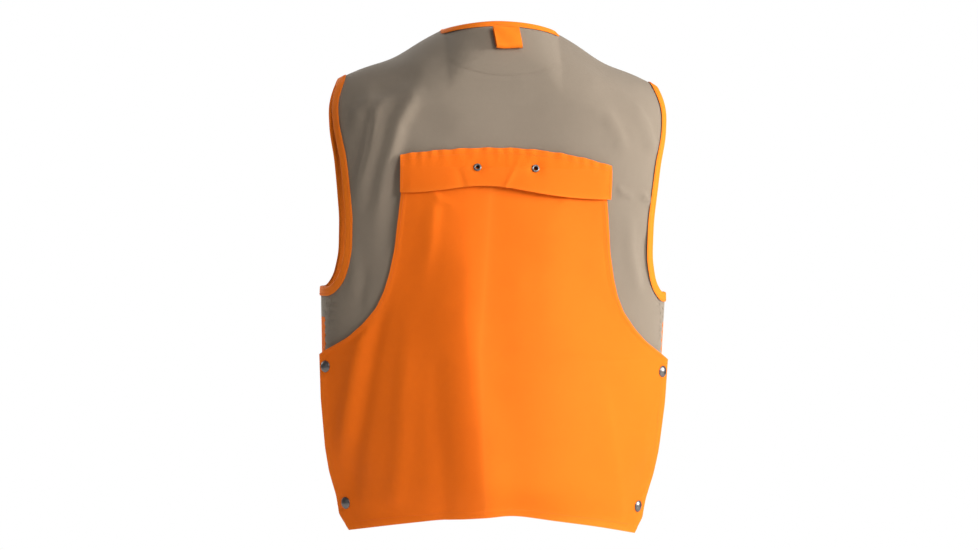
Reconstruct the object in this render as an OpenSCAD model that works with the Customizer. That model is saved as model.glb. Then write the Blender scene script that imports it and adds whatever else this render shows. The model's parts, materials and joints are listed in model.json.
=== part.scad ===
// Sleeveless field vest with a game bag on its back, in millimetres.
// The origin is midway between the two high shoulder points at the neck. +X is the wearer's
// right, +Y is the wearer's front and +Z is up.

/* [Neck and shoulders] */
// Half of the distance between the two high shoulder points
neck_half = 75; // [72:1:78]
// How far the shoulder line's curve would rise over the middle of the neck
neck_rise = 55; // [50:1:60]
// Half-width at the shoulder tips
shoulder_half = 212; // [208:1:216]
// Drop from the high shoulder points to the shoulder tips
shoulder_drop = 68; // [64:1:72]
// Height over which the cloth rolls over the shoulder
roll_height = 90; // [84:2:96]
// Depth of the front neckline below the shoulder points
front_neck_drop = 110; // [104:2:114]

/* [Body] */
// Length of the back and the fronts, below the shoulder points
body_length = 636; // [626:1:638]
// Half-width of the body round the hips, where the bag's top corners are
hip_half = 228; // [224:1:230]
// Height of the armhole's lowest point
armhole_bottom = -346; // [-350:1:-342]
// Height of the seam between the khaki yoke and the orange lower front
waist_seam = -385; // [-392:1:-378]
// Thickness of a cloth panel with its lining
cloth = 2; // [1.6:0.1:2.2]
// Width of the binding tape
binding_width = 12; // [9:0.5:14]

/* [Game bag] */
// Length of the bag's panel at the middle, below the shoulder points
bag_length = 642; // [640:1:646]
// Height of the bag's mouth
bag_mouth = -184; // [-188:1:-182]
// Height of the top corners, where the bag leaves the side seams
bag_corner = -434; // [-438:1:-432]
// Extra drop of the hem at 200 mm from the middle
hem_drop = 26; // [20:1:30]
// Width of the edge that unsnaps at each side
bag_edge_width = 45; // [40:1:50]
// How far the bag stands off the back where it is fullest
bag_fullness = 39; // [20:1:42]

/* [Bag flap] */
// Half-width of the flap
flap_half = 142; // [136:1:146]
// Height of the flap's top seam at the middle
flap_top = -160; // [-162:1:-158]
// Height of the flap's lower edge
flap_bottom = -212; // [-216:1:-206]
// Distance of each eyelet from the middle
eyelet_x = 38; // [30:1:50]
// Height of the eyelets
eyelet_z = -184; // [-188:1:-182]
// Radius of the hole through an eyelet
eyelet_hole_r = 2.5; // [2:0.1:2.8]

/* [Hang loop] */
// Width of the strap
loop_width = 37; // [30:1:40]
// Length of the folded loop
loop_length = 38; // [34:1:42]
// Thickness of the folded loop, outside to outside
loop_depth = 10; // [9.6:0.1:10.4]

/* [Pockets] */
// Distance of the pocket's inner side from the middle
pocket_in = 38; // [34:1:44]
// Distance of the pocket's outer side from the middle
pocket_out = 158; // [150:1:160]
// Height of the pocket's top edge
pocket_top = -404; // [-408:1:-402]
// Height of the pocket's bottom edge
pocket_bottom = -606; // [-610:1:-590]
// Depth of the bellows
pocket_depth = 16.2; // [15:0.2:17]
// Length of the part of the pocket flap that hangs
pocket_flap_drop = 46; // [42:1:56]

/* [Fasteners] */
// Radius of a snap's cap
cap_r = 7.5; // [7:0.1:8]
// Length of the zip's chain
zip_length = 505; // [500:1:506]
// Half-width of the zip with its tapes
tape_half = 18; // [16:0.5:20]

/* [Hidden] */
$fn = 48;
left = -1;
right = 1;
khaki = [0.60, 0.55, 0.48];
orange = [0.96, 0.46, 0.12];
tape_orange = [0.93, 0.40, 0.10];
gunmetal = [0.28, 0.27, 0.28];
brass = [0.62, 0.52, 0.34];
white = [0.90, 0.90, 0.88];

seam_gap = 0.2;           // half of the gap between panels that are sewn edge to edge
layer_gap = 0.3;          // gap between cloths that lie on each other
trim_gap = 1.2;           // gap under the binding tapes, which follow curved edges
trim = 1.1;               // thickness of a binding tape
shoulder_fall = shoulder_drop / (shoulder_half - neck_half);
back_neck_rise = 10;      // rise of the back neckline at the middle
front_power = 2.5;        // squareness of the front half of the body's section
side_seam_share = 0.96;   // the side seam's place, as a share of the half-width
bag_base_gap = 4;         // distance of the bag's outer face from the back along its seams
bag_side_gap = 7.4;       // the same lower down, where the bag carries its snaps
bag_cloth = 1.6;
bag_tangent = 0.9;        // share of the half-width from which the bag hangs straight
edge_top = -404;          // where the side edges' hinge lines meet the bag's curved seams
flap_cloth = 1.4;
flap_clearance = 4.4;
pocket_flap_cloth = 1.6;
pocket_flap_out = pocket_depth + 5.8;
zip_top_z = -122;
teeth_top = 14;           // how far below the zip's top the chain begins, under the slider
teeth_half = 1.1;
zip_tilt = atan2(16, 520);
slider_length = 20;

// Half-width of the body's section by height, out to the widest point of each side
section_half_at = [[-640, hip_half - 30], [-621, hip_half - 28], [-599, hip_half - 24],
    [-569, hip_half - 15], [-541, hip_half - 9], [-485, hip_half - 2], [-430, hip_half],
    [armhole_bottom, 231], [-200, 236]];
// Edge of the armhole by height
armhole_at = [[armhole_bottom, 221], [-332, 210], [-300, 203], [-252, 203], [-204, 208],
    [-172, 212], [-140, 219], [-108, 222], [-92, 220], [-shoulder_drop, shoulder_half]];
// Depth of the back and of the front from the middle plane, by height
back_depth_at = [[-640, 112], [-430, 108], [-300, 116], [-200, 118], [-150, 116],
    [-100, 109], [-50, 95], [-20, 84], [0, 76], [10, 72]];
front_depth_at = [[-640, 122], [-120, 106], [-90, 97], [-60, 84], [-30, 66], [0, 45]];
back_power_at = [[-430, 2], [-200, 3]];
// Half-width of the bag's panel by height: concave from the flap to the top corners
bag_half_at = [[-641, 190], [-621, 203], [-614, 204], [-599, 207], [-569, 217], [-541, 223],
    [-485, 230], [bag_corner, 233], [-430, 228], [-422, 216], [-410, 198], [-392, 180],
    [-370, 163.5], [-348, 154], [-326, 148], [-292, 142], [-266, 140], [-223, 136],
    [bag_mouth, 134]];
bag_stand_off_at = [[-642, 0.3], [-600, 0.9], [-520, 1], [-400, 0.7], [-250, 0.25],
    [bag_mouth, 0.14]];
// Where a front begins to fold as it swings open, and where it is sewn fast
fold_in_at = [[-640, 183], [-400, 165], [-200, 136], [-110, 112], [-50, 80], [-30, 62]];
fold_out_at = [[-640, 205], [-400, 208], [-200, 187], [-110, 165], [-50, 129], [-3, 77]];
// Heights of the fronts' rows of points, which neighbouring panels share
lower_rows = [-body_length, -600, -560, -520, -485, -440, -400, waist_seam - seam_gap];
upper_rows = [waist_seam + seam_gap, armhole_bottom, -300, -250, -200, -155, -110, -80, -50, -34];
fold_rows = concat(upper_rows, [-20, -10, -3]);
yoke_rows = concat([armhole_bottom + 0.5], [for (i = [2 : len(fold_rows) - 1]) fold_rows[i]]);
// Heights of the back panel's rows of points, closer over the shoulders
back_rows = [[0, -body_length], [0.14, -520], [0.28, -400], [0.34, armhole_bottom],
    [0.46, -250], [0.58, -150], [0.66, -92], [0.72, -68], [0.92, 0], [1, 9]];

// Small helpers
function unit(t) = max(0, min(1, t));
function mix(a, b, t) = a + (b - a) * t;
function section_half(z) = lookup(z, section_half_at);
function bag_half(z) = lookup(z, bag_half_at);
// The height at a share v of the way through a list of rows
function row_at(v, rows) = let (
        place = v * (len(rows) - 1), i = min(floor(place), len(rows) - 2))
    mix(rows[i], rows[i + 1], place - i);

// The line of the shoulder seams, carried on over the neck
function ridge(x) = abs(x) < neck_half
    ? neck_rise * (1 - pow(x / neck_half, 2)) : -shoulder_fall * (abs(x) - neck_half);
function roll(x, z) = let (t = unit((ridge(x) - z) / roll_height)) sqrt(t * (2 - t));
function bulge(x, z, power) = sqrt(max(0, 1 - pow(abs(x) / section_half(z), power)));

// Points of the body's outer face at a distance x from the middle and a height z
function back_at(x, z) = [x,
    -lookup(z, back_depth_at) * bulge(x, z, lookup(z, back_power_at)) * roll(x, z) - seam_gap, z];
function front_at(x, z) = [x,
    lookup(z, front_depth_at) * bulge(x, z, front_power) * roll(x, z) + seam_gap, z];
// A point of the side, by its angle forward of the widest place
function side_at(angle, z) = let (
        power = angle < 0 ? lookup(z, back_power_at) : front_power,
        depth = angle < 0 ? lookup(z, back_depth_at) : lookup(z, front_depth_at))
    [section_half(z) * pow(cos(angle), 2 / power), depth * sin(angle), z];
function back_angle(z, share) = -acos(pow(share, lookup(z, back_power_at) / 2));
function front_angle(z, x) = acos(pow(min(1, x / section_half(z)), front_power / 2));

// The bag's outer face: like the back near the middle, straight towards the side edges,
// and standing off the back between them
function bag_bulge(x, z) = let (
        u = abs(x) / section_half(z), p = lookup(z, back_power_at), t = bag_tangent,
        at_tangent = sqrt(1 - pow(t, p)),
        slope = p * pow(t, p - 1) / (2 * at_tangent))
    u < t ? sqrt(1 - pow(u, p)) : at_tangent - slope * (u - t);
function bag_base(z) = mix(bag_base_gap, bag_side_gap, unit((-330 - z) / 90));
function bag_stand_off(x, z) = bag_base(z) + bag_fullness * lookup(z, bag_stand_off_at)
    * pow(1 - pow(min(1, abs(x) / bag_half(z)), 2), 2);
function bag_at(x, z) = [x,
    -lookup(z, back_depth_at) * bag_bulge(x, z) - bag_stand_off(x, z), z];

// How far the hem drops towards the sides, for a row at height z
function drop(x, z, amount) = z - amount * pow(x / 200, 2) * unit((-z - 440) / 200);

// A closed cloth panel. at(u, v) is a point of its face, with u to the right and v upwards
// as seen from outside, and the panel lies from low to high along the face's normal.
function normal_at(at, u, v) = let (
        h = 0.01,
        across = at(min(1, u + h), v) - at(max(0, u - h), v),
        along = at(u, min(1, v + h)) - at(u, max(0, v - h)),
        n = cross(across, along))
    n / norm(n);
module panel(at, nu, nv, low, high) {
    points = [for (w = [low, high], i = [0 : nu], j = [0 : nv])
        at(i / nu, j / nv) + w * normal_at(at, i / nu, j / nv)];
    inner = function (i, j) i * (nv + 1) + j;
    outer = function (i, j) (nu + 1) * (nv + 1) + i * (nv + 1) + j;
    square_of = function (a, b, c, d) [[a, b, c], [a, c, d]];
    polyhedron(points, [
        for (i = [0 : nu - 1], j = [0 : nv - 1]) each concat(
            square_of(outer(i, j), outer(i, j + 1), outer(i + 1, j + 1), outer(i + 1, j)),
            square_of(inner(i, j), inner(i + 1, j), inner(i + 1, j + 1), inner(i, j + 1))),
        for (i = [0 : nu - 1]) each concat(
            square_of(outer(i, 0), outer(i + 1, 0), inner(i + 1, 0), inner(i, 0)),
            square_of(outer(i + 1, nv), outer(i, nv), inner(i, nv), inner(i + 1, nv))),
        for (j = [0 : nv - 1]) each concat(
            square_of(outer(0, j + 1), outer(0, j), inner(0, j), inner(0, j + 1)),
            square_of(outer(nu, j), outer(nu, j + 1), inner(nu, j + 1), inner(nu, j)))
    ]);
}

module on(side) {
    if (side < 0) mirror([1, 0, 0]) children();
    else children();
}
// Carries its children to a point, with their +Z along the direction out
module facing(point, out) {
    translate(point) rotate([0, acos(out.z), atan2(out.y, out.x)]) children();
}
module ring(r_out, r_in, low, high) {
    difference() {
        translate([0, 0, low]) cylinder(r = r_out, h = high - low);
        translate([0, 0, low - 1]) cylinder(r = r_in, h = high - low + 2);
    }
}

// Back

function back_half(z) = z < armhole_bottom ? side_seam_share * section_half(z)
    : z < -shoulder_drop ? lookup(z, armhole_at)
    : z < 0 ? neck_half - z / shoulder_fall
    : neck_half * sqrt(1 - z / back_neck_rise);
back_face = function (u, v) let (
        row = lookup(v, back_rows), x = back_half(row) * sin(90 * (2 * u - 1)))
    back_at(x, drop(x, row, 8));
module back_panel() { color(khaki) panel(back_face, 32, 34, -cloth, 0); }

function back_neckline(x) = back_neck_rise * (1 - pow(x / neck_half, 2));
facing_half = 66;
facing_drop = 57;
// How far the facing and the label lie inside the back, and the liner outside it
facing_in = [0.7, 1.6];
label_in = [2.2, 3];
liner_out = [0.7, 1.4];
facing_face = function (u, v) let (
        x = facing_half * sin(90 * (2 * u - 1)),
        low = -facing_drop * sqrt(1 - pow(x / 80, 2)))
    back_at(x, mix(low, back_neckline(x) - 1, v));
module neck_facing() {
    color(khaki) panel(facing_face, 16, 8, -cloth - facing_in[1], -cloth - facing_in[0]);
}
label_face = function (u, v) back_at(mix(-24, 24, u), mix(-38, -10, v));
module neck_label() { color(white) panel(label_face, 4, 3, -cloth - label_in[1], -cloth - label_in[0]); }

neck_binding_face = function (u, v) let (
        x = 0.985 * neck_half * sin(90 * (2 * u - 1)),
        drop_in = mix(1.2, 0.9 * binding_width, unit((neck_half - abs(x)) / 25)))
    back_at(x, back_neckline(x) - drop_in * (1 - v));
module neck_binding() { color(tape_orange) panel(neck_binding_face, 24, 2, trim_gap, trim_gap + trim); }

// Parts of the fronts that stay with the back

function fold_out(z) = min(lookup(z, fold_out_at), 0.97 * section_half(z));
function neckline_x(z) = z < -front_neck_drop ? 0
    : neck_half * pow(1 + z / front_neck_drop, 0.625);
function fold_in(z) = max(lookup(z, fold_in_at), neckline_x(z));
function front_half(z) = z < -shoulder_drop ? lookup(z, armhole_at)
    : neck_half - z / shoulder_fall;
yoke_face = function (u, v) let (
        z = row_at(v, yoke_rows), x0 = fold_out(z) + seam_gap,
        x = mix(x0, front_half(z), sin(90 * (1 - u))))
    front_at(x, z);
// The side, from its seam with the back forward to where the front folds
side_start = 2.2;         // degrees
function side_face(rows) = function (u, v) let (
        z = row_at(v, rows),
        from = back_angle(z, side_seam_share) + side_start,
        to = front_angle(z, fold_out(z) + 5 * seam_gap))
    let (p = side_at(mix(from, to, u), z)) [p.x, p.y, drop(p.x, z, 8)];
module yoke(side) {
    color(khaki) on(side) {
        panel(yoke_face, 8, len(yoke_rows) - 1, -cloth, 0);
        panel(side_face([upper_rows[0], upper_rows[1]]), 8, 1, -cloth, 0);
    }
}
module side_panel(side) {
    color(orange) on(side)
        panel(side_face(lower_rows), 8, len(lower_rows) - 1, -cloth, 0);
}

armhole_low = armhole_bottom + 2;
back_armhole_face = function (u, v) let (z = mix(armhole_low, -shoulder_drop - 1, v))
    back_at(lookup(z, armhole_at) - binding_width * (1 - u), z);
front_armhole_face = function (u, v) let (z = mix(armhole_low, -shoulder_drop - 1, v))
    front_at(lookup(z, armhole_at) - binding_width * u, z);
underarm_face = function (u, v) let (z = mix(armhole_bottom - binding_width, armhole_bottom, v))
    side_at(mix(back_angle(z, 0.93), front_angle(z, 0.93 * section_half(z)), u), z);
module armhole_binding(side) {
    color(tape_orange) on(side) {
        panel(back_armhole_face, 2, 24, trim_gap, trim_gap + trim);
        panel(front_armhole_face, 2, 24, trim_gap, trim_gap + trim);
        panel(underarm_face, 8, 1, trim_gap, trim_gap + trim);
    }
}

// The cloth in which a front bends as it swings open
function fold_face(rows) = function (u, v) let (
        z = row_at(v, rows),
        x = mix(fold_in(z) + seam_gap, fold_out(z) - seam_gap, 1 - u))
    front_at(x, drop(x, z, 8));
module fold_upper(side) {
    color(khaki) on(side) panel(fold_face(fold_rows), 4, len(fold_rows) - 1, -cloth, 0);
}
module fold_lower(side) {
    color(orange) on(side) panel(fold_face(lower_rows), 4, len(lower_rows) - 1, -cloth, 0);
}

// Parts of the fronts that swing

panel_edge = 9;           // the fronts stop this far from the middle, on the zip's tapes
front_upper_face = function (u, v) let (
        z = row_at(v, upper_rows),
        x = mix(max(panel_edge, neckline_x(z)), fold_in(z) - seam_gap, 1 - u))
    front_at(x, z);
module front_upper(side) {
    color(khaki) on(side) panel(front_upper_face, 10, len(upper_rows) - 1, -cloth, 0);
}

front_lower_face = function (u, v) let (
        z = row_at(v, lower_rows),
        x = mix(panel_edge, fold_in(z) - seam_gap, 1 - u))
    front_at(x, drop(x, z, 8));
module front_lower(side) {
    color(orange) on(side) panel(front_lower_face, 10, len(lower_rows) - 1, -cloth, 0);
}

function front_neckline(x) = -front_neck_drop * (1 - pow(x / neck_half, 1.6));
front_binding_face = function (u, v) let (x = mix(57, panel_edge + 2, u))
    front_at(x, front_neckline(x) - binding_width * (1 - v));
module front_binding(side) {
    color(tape_orange) on(side) panel(front_binding_face, 12, 1, trim_gap, trim_gap + trim);
}

// Game bag

liner_face = function (u, v) let (
        row = mix(-bag_length + 4, bag_mouth + 2, v),
        x = min(0.97 * bag_half(row), bag_hinge_x(row) - 3) * sin(90 * (2 * u - 1)))
    back_at(x, drop(x, row, hem_drop));
module bag_liner() { color(orange) panel(liner_face, 28, 18, liner_out[0], liner_out[1]); }

// The straight line about which each side edge opens, for a row at height z
function bag_hinge_x(z) = mix(bag_half(-620) - bag_edge_width, bag_half(edge_top),
    (z + bag_length) / (edge_top + bag_length));
bag_rows = [-bag_length, -600, -560, -520, -485, -450, -420, edge_top, -390, -370, -348, -326,
    -292, -255, -220, bag_mouth];
bag_face = function (u, v) let (
        row = row_at(v, bag_rows), x = min(bag_half(row), bag_hinge_x(row)) * (2 * u - 1))
    bag_at(x, drop(x, row, hem_drop));
module bag_panel() {
    color(orange) panel(bag_face, 22, len(bag_rows) - 1, -bag_cloth, 0);
}

// The strip that closes the bag below, from the liner out to the panel
bottom_lift = 6;
bottom_thickness = 1.2;
bottom_half = 155;
bottom_clear = 2.7;       // from the back's outer face, past the liner
bottom_face = function (u, v) let (
        x = bottom_half * (1 - 2 * u), z = drop(x, -bag_length, hem_drop) + bottom_lift,
        y0 = back_at(x, z).y - bottom_clear, y1 = bag_at(x, z).y + bag_cloth + 0.6)
    [x, mix(y0, y1, 1 - v), z];
module bag_bottom() { color(orange) panel(bottom_face, 16, 2, -bottom_thickness, 0); }

edge_rows = [-bag_length + 1, -621, -600, -560, -520, -485, -450, bag_corner, -430, -422,
    edge_top - 3];
edge_face = function (u, v) let (
        row = row_at(v, edge_rows),
        x = mix(bag_hinge_x(row) + 2 * seam_gap, bag_half(row), u))
    bag_at(x, drop(x, row, hem_drop));
module bag_edge(side) {
    color(orange) on(side) panel(edge_face, 8, len(edge_rows) - 1, -bag_cloth, 0);
}

// Snaps: local +Z points out of the upper cloth, and z = 0 is its outer face

bag_snaps = [[225, -450], [195, -630]];
snap_bed = 4.9;           // depth of a stud's base under the upper cloth's outer face
stud_r = 4.4;
cap_gap = 0.4;            // gap between a cap and the cloth under it
bag_face_local = function (u, v) bag_at(mix(185, 235, u), mix(-660, -430, v));
function bag_normal(x, z) = normal_at(bag_face_local, (x - 185) / 50, (z + 660) / 230);
module snap_cap() {
    dome = 2.5;
    rim = 0.9;
    bend_r = (cap_r * cap_r + dome * dome) / (2 * dome);
    rotate_extrude() polygon([[0, cap_gap], [cap_r - 0.8, cap_gap],
        for (k = [0 : 6]) let (r = cap_r * cos(15 * k))
            [r, rim + sqrt(bend_r * bend_r - r * r) - bend_r + dome]]);
}
module snap_socket() { ring(5, 3.2, -4, -bag_cloth - 0.4); }
module snap_stud() {
    translate([0, 0, -snap_bed]) cylinder(r = stud_r, h = snap_bed - 4.3);
    translate([0, 0, -snap_bed]) cylinder(r = 2.7, h = snap_bed - 2.4);
}
module at_bag_snaps(side) {
    on(side) for (s = bag_snaps) facing(bag_at(s.x, s.y), bag_normal(s.x, s.y)) children();
}
module bag_caps(side) { color(gunmetal) at_bag_snaps(side) snap_cap(); }
module bag_sockets(side) { color(gunmetal) at_bag_snaps(side) snap_socket(); }
module bag_studs(side) { color(gunmetal) at_bag_snaps(side) snap_stud(); }

// Cloth pads that carry the studs on the side panels
function in_body(p) = p.y > 0 || pow(abs(p.x) / section_half(p.z), lookup(p.z, back_power_at))
    + pow(p.y / lookup(p.z, back_depth_at), 2) < 1;
function sink(p, out, d = 0) = in_body(p - out * d) ? d : sink(p, out, d + 0.1);
pad_r = 4.8;
module snap_pads(side) {
    color(orange) on(side) for (s = bag_snaps) {
        p = bag_at(s.x, s.y);
        out = bag_normal(s.x, s.y);
        across = cross(out, [0, 0, 1]) / norm(cross(out, [0, 0, 1]));
        up = cross(across, out);
        depth = min([for (a = [0 : 30 : 330])
            sink(p + pad_r * (cos(a) * across + sin(a) * up), out)]) - 0.45;
        facing(p, out) translate([0, 0, -depth])
            cylinder(r = pad_r, h = depth - snap_bed - 0.1);
    }
}

// Bag flap

function flap_gap(x, z) = mix(bag_stand_off(x, z) + flap_clearance, 2.4,
    unit((z - bag_mouth) / (flap_top - bag_mouth)));
flap_face = function (u, v) let (
        x = flap_half * (2 * u - 1),
        z = mix(flap_bottom, flap_top - 12 * pow(x / flap_half, 2), v),
        p = back_at(x, z))
    [x, p.y - flap_gap(x, z), z];
eyelet_v = (eyelet_z - flap_bottom) / (flap_top - 12 * pow(eyelet_x / flap_half, 2) - flap_bottom);
module at_eyelets() {
    for (side = [left, right]) let (u = 0.5 + side * eyelet_x / flap_half / 2)
        facing(flap_face(u, eyelet_v), normal_at(flap_face, u, eyelet_v)) children();
}
eyelet_flange_r = 5.2;
eyelet_barrel_r = 3.2;
eyelet_reach = 3.4;       // how far the barrel goes behind the flap's face
washer = 0.8;
module bag_flap() {
    color(orange) difference() {
        panel(flap_face, 16, 6, -flap_cloth, 0);
        at_eyelets() translate([0, 0, -5]) cylinder(r = eyelet_barrel_r + 0.2, h = 10);
    }
}
module eyelets() {
    color(gunmetal) at_eyelets() difference() {
        union() {
            translate([0, 0, 0.15]) cylinder(r = eyelet_flange_r, h = 0.9);
            translate([0, 0, -eyelet_reach]) cylinder(r = eyelet_barrel_r, h = eyelet_reach + 0.5);
        }
        translate([0, 0, -4]) cylinder(r = eyelet_hole_r, h = 8);
    }
}
module eyelet_washers() {
    color(gunmetal) at_eyelets()
        ring(eyelet_flange_r, eyelet_barrel_r + 0.15, 0.1 - eyelet_reach, 0.1 - eyelet_reach + washer);
}

// Hang loop: a strap folded on itself, which hangs from the neck seam

loop_strap = 1.5;
loop_slope = 31;
loop_at = [0, -76.5, 5.5];
module stadium(length, thickness) {
    circle(r = thickness / 2);
    translate([-thickness / 2, -length]) square([thickness, length]);
    translate([0, -length]) circle(r = thickness / 2);
}
module hang_loop() {
    color(tape_orange) translate(loop_at) rotate([-loop_slope, 0, 0])
        rotate([90, 0, 90]) translate([0, 0, -loop_width / 2])
            linear_extrude(loop_width) difference() {
                stadium(loop_length - loop_depth, loop_depth);
                stadium(loop_length - loop_depth, loop_depth - 2 * loop_strap);
            }
}

// Bellows pockets

function pocket_face_of(x0, x1, z0, z1) = function (u, v)
    front_at(mix(x0, x1, 1 - u), mix(z0, z1, v));
gusset = 1.6;
module pocket_face(side) {
    color(orange) on(side) panel(
        pocket_face_of(pocket_in, pocket_out, pocket_bottom, pocket_top), 8, 6,
        pocket_depth - 1.4, pocket_depth);
}
module pocket_gusset(side) {
    high = pocket_depth - 1.4 - layer_gap;
    color(orange) on(side) {
        panel(pocket_face_of(pocket_in, pocket_in + gusset, pocket_bottom, pocket_top),
            1, 6, layer_gap, high);
        panel(pocket_face_of(pocket_out - gusset, pocket_out, pocket_bottom, pocket_top),
            1, 6, layer_gap, high);
        panel(pocket_face_of(pocket_in + gusset + 0.4, pocket_out - gusset - 0.4,
            pocket_bottom, pocket_bottom + gusset), 8, 1, layer_gap, high);
    }
}
// The flap runs out from the front over the pocket's mouth and hangs over its face
pocket_flap_top = pocket_top + 12;
flap_path = [[0, pocket_top + 6 - pocket_flap_drop], [0.75, pocket_top + 6], [1, pocket_flap_top]];
flap_out_path = [[0, pocket_flap_out], [0.75, pocket_flap_out - 0.6], [1, pocket_flap_cloth + 0.5]];
pocket_flap_face = function (u, v) let (
        x = mix(pocket_in - 4, pocket_out + 3, 1 - u), z = lookup(v, flap_path),
        base = function (a, b) front_at(mix(pocket_in - 4, pocket_out + 3, 1 - a),
            mix(z - 5, z + 5, b)))
    front_at(x, z) + lookup(v, flap_out_path) * normal_at(base, u, 0.5);
module pocket_flap(side) {
    color(orange) on(side) panel(pocket_flap_face, 8, 8, -pocket_flap_cloth, 0);
}
pocket_snap_u = 0.5;
pocket_snap_v = 0.2;
module at_pocket_snap(side) {
    on(side) facing(pocket_flap_face(pocket_snap_u, pocket_snap_v),
        normal_at(pocket_flap_face, pocket_snap_u, pocket_snap_v)) children();
}
module pocket_snap(side) {
    color(gunmetal) at_pocket_snap(side) {
        snap_cap();
        snap_socket();
    }
}
module pocket_stud(side) { color(gunmetal) at_pocket_snap(side) snap_stud(); }

// Zip: local +Z runs up the chain, and z = 0 is its top end

module along_zip() {
    translate([0, front_at(0, -120).y + 0.06 - 1.4, zip_top_z]) rotate([zip_tilt, 0, 0]) children();
}
module zip_tape(side) {
    color(tape_orange) along_zip() on(side)
        translate([5, -cloth - 1.6, -zip_length - 4]) cube([tape_half - 5, 1, zip_length + 4]);
}
module zip_teeth(side) {
    color(brass) along_zip() on(side)
        translate([0.2, -teeth_half, -zip_length]) cube([4.7, 2 * teeth_half, zip_length - teeth_top]);
}
module top_stop(side) {
    color(brass) along_zip() on(side) translate([0.4, -1.6, -3]) cube([4.3, 3.2, 3]);
}
module zip_retainer() {
    color(brass) along_zip() translate([-4.8, -1.8, -zip_length - 9]) cube([4.6, 3.6, 8.7]);
}
module zip_pin() {
    color(brass) along_zip() translate([0.2, -1, -zip_length - 8]) cube([2.4, 2, 7.7]);
}

slider_half = 4.6;
plate = 1.6;
plate_at = 1.6;           // distance of each plate's inner face from the chain's middle
bar_y = 5.5;              // the pull's pivot
bar_r = 0.9;
pivot_z = -9;
module zip_slider() {
    color(gunmetal) along_zip() {
        for (y = [plate_at, -plate_at - plate])
            translate([-slider_half, y, -4 - slider_length])
                cube([2 * slider_half, plate, slider_length]);
        translate([-1.5, -plate_at - 0.2, -4 - 8]) cube([3, 2 * plate_at + 0.4, 7]);
        for (x = [-4, 3]) translate([x, plate_at + plate - 0.2, pivot_z - 1.6])
            cube([1, bar_y + 1.4 - plate_at - plate, 3.2]);
        translate([-3.5, bar_y, pivot_z]) rotate([0, 90, 0]) cylinder(r = bar_r, h = 7);
    }
}
module zip_pull() {
    color(gunmetal) along_zip() translate([0, bar_y, pivot_z]) difference() {
        union() {
            translate([-2.6, 0, 0]) rotate([0, 90, 0]) cylinder(r = 2.1, h = 5.2);
            translate([-2.6, -0.8, -30]) cube([5.2, 1.6, 30]);
            translate([0, 0.8, -29]) rotate([90, 0, 0]) cylinder(r = 4.6, h = 1.6);
        }
        translate([-10, 0, 0]) rotate([0, 90, 0]) cylinder(r = bar_r + 0.3, h = 20);
        translate([0, 5, -29]) rotate([90, 0, 0]) cylinder(r = 2, h = 10);
    }
}

back_panel();
neck_facing();
neck_label();
neck_binding();
yoke(left);  // left_yoke
yoke(right);  // right_yoke
side_panel(left);  // left_side_panel
side_panel(right);  // right_side_panel
armhole_binding(left);  // left_armhole_binding
armhole_binding(right);  // right_armhole_binding
fold_upper(left);  // left_fold_upper
fold_upper(right);  // right_fold_upper
fold_lower(left);  // left_fold_lower
fold_lower(right);  // right_fold_lower
front_upper(left);  // left_front_upper
front_upper(right);  // right_front_upper
front_lower(left);  // left_front_lower
front_lower(right);  // right_front_lower
front_binding(left);  // left_neck_binding
front_binding(right);  // right_neck_binding
bag_liner();
bag_panel();
bag_bottom();
bag_edge(left);  // left_bag_edge
bag_edge(right);  // right_bag_edge
bag_caps(left);  // left_bag_caps
bag_caps(right);  // right_bag_caps
bag_sockets(left);  // left_bag_sockets
bag_sockets(right);  // right_bag_sockets
bag_studs(left);  // left_bag_studs
bag_studs(right);  // right_bag_studs
snap_pads(left);  // left_snap_pads
snap_pads(right);  // right_snap_pads
bag_flap();
eyelets();
eyelet_washers();
hang_loop();
pocket_face(left);  // left_pocket_face
pocket_face(right);  // right_pocket_face
pocket_gusset(left);  // left_pocket_gusset
pocket_gusset(right);  // right_pocket_gusset
pocket_flap(left);  // left_pocket_flap
pocket_flap(right);  // right_pocket_flap
pocket_snap(left);  // left_pocket_snap
pocket_snap(right);  // right_pocket_snap
pocket_stud(left);  // left_pocket_stud
pocket_stud(right);  // right_pocket_stud
zip_tape(left);  // left_zip_tape
zip_tape(right);  // right_zip_tape
zip_teeth(left);  // left_zip_teeth
zip_teeth(right);  // right_zip_teeth
top_stop(left);  // left_top_stop
top_stop(right);  // right_top_stop
zip_retainer();
zip_pin();
zip_slider();
zip_pull();
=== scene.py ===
import json
import math
import bpy
import numpy as np
from mathutils import Matrix, Vector

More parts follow.
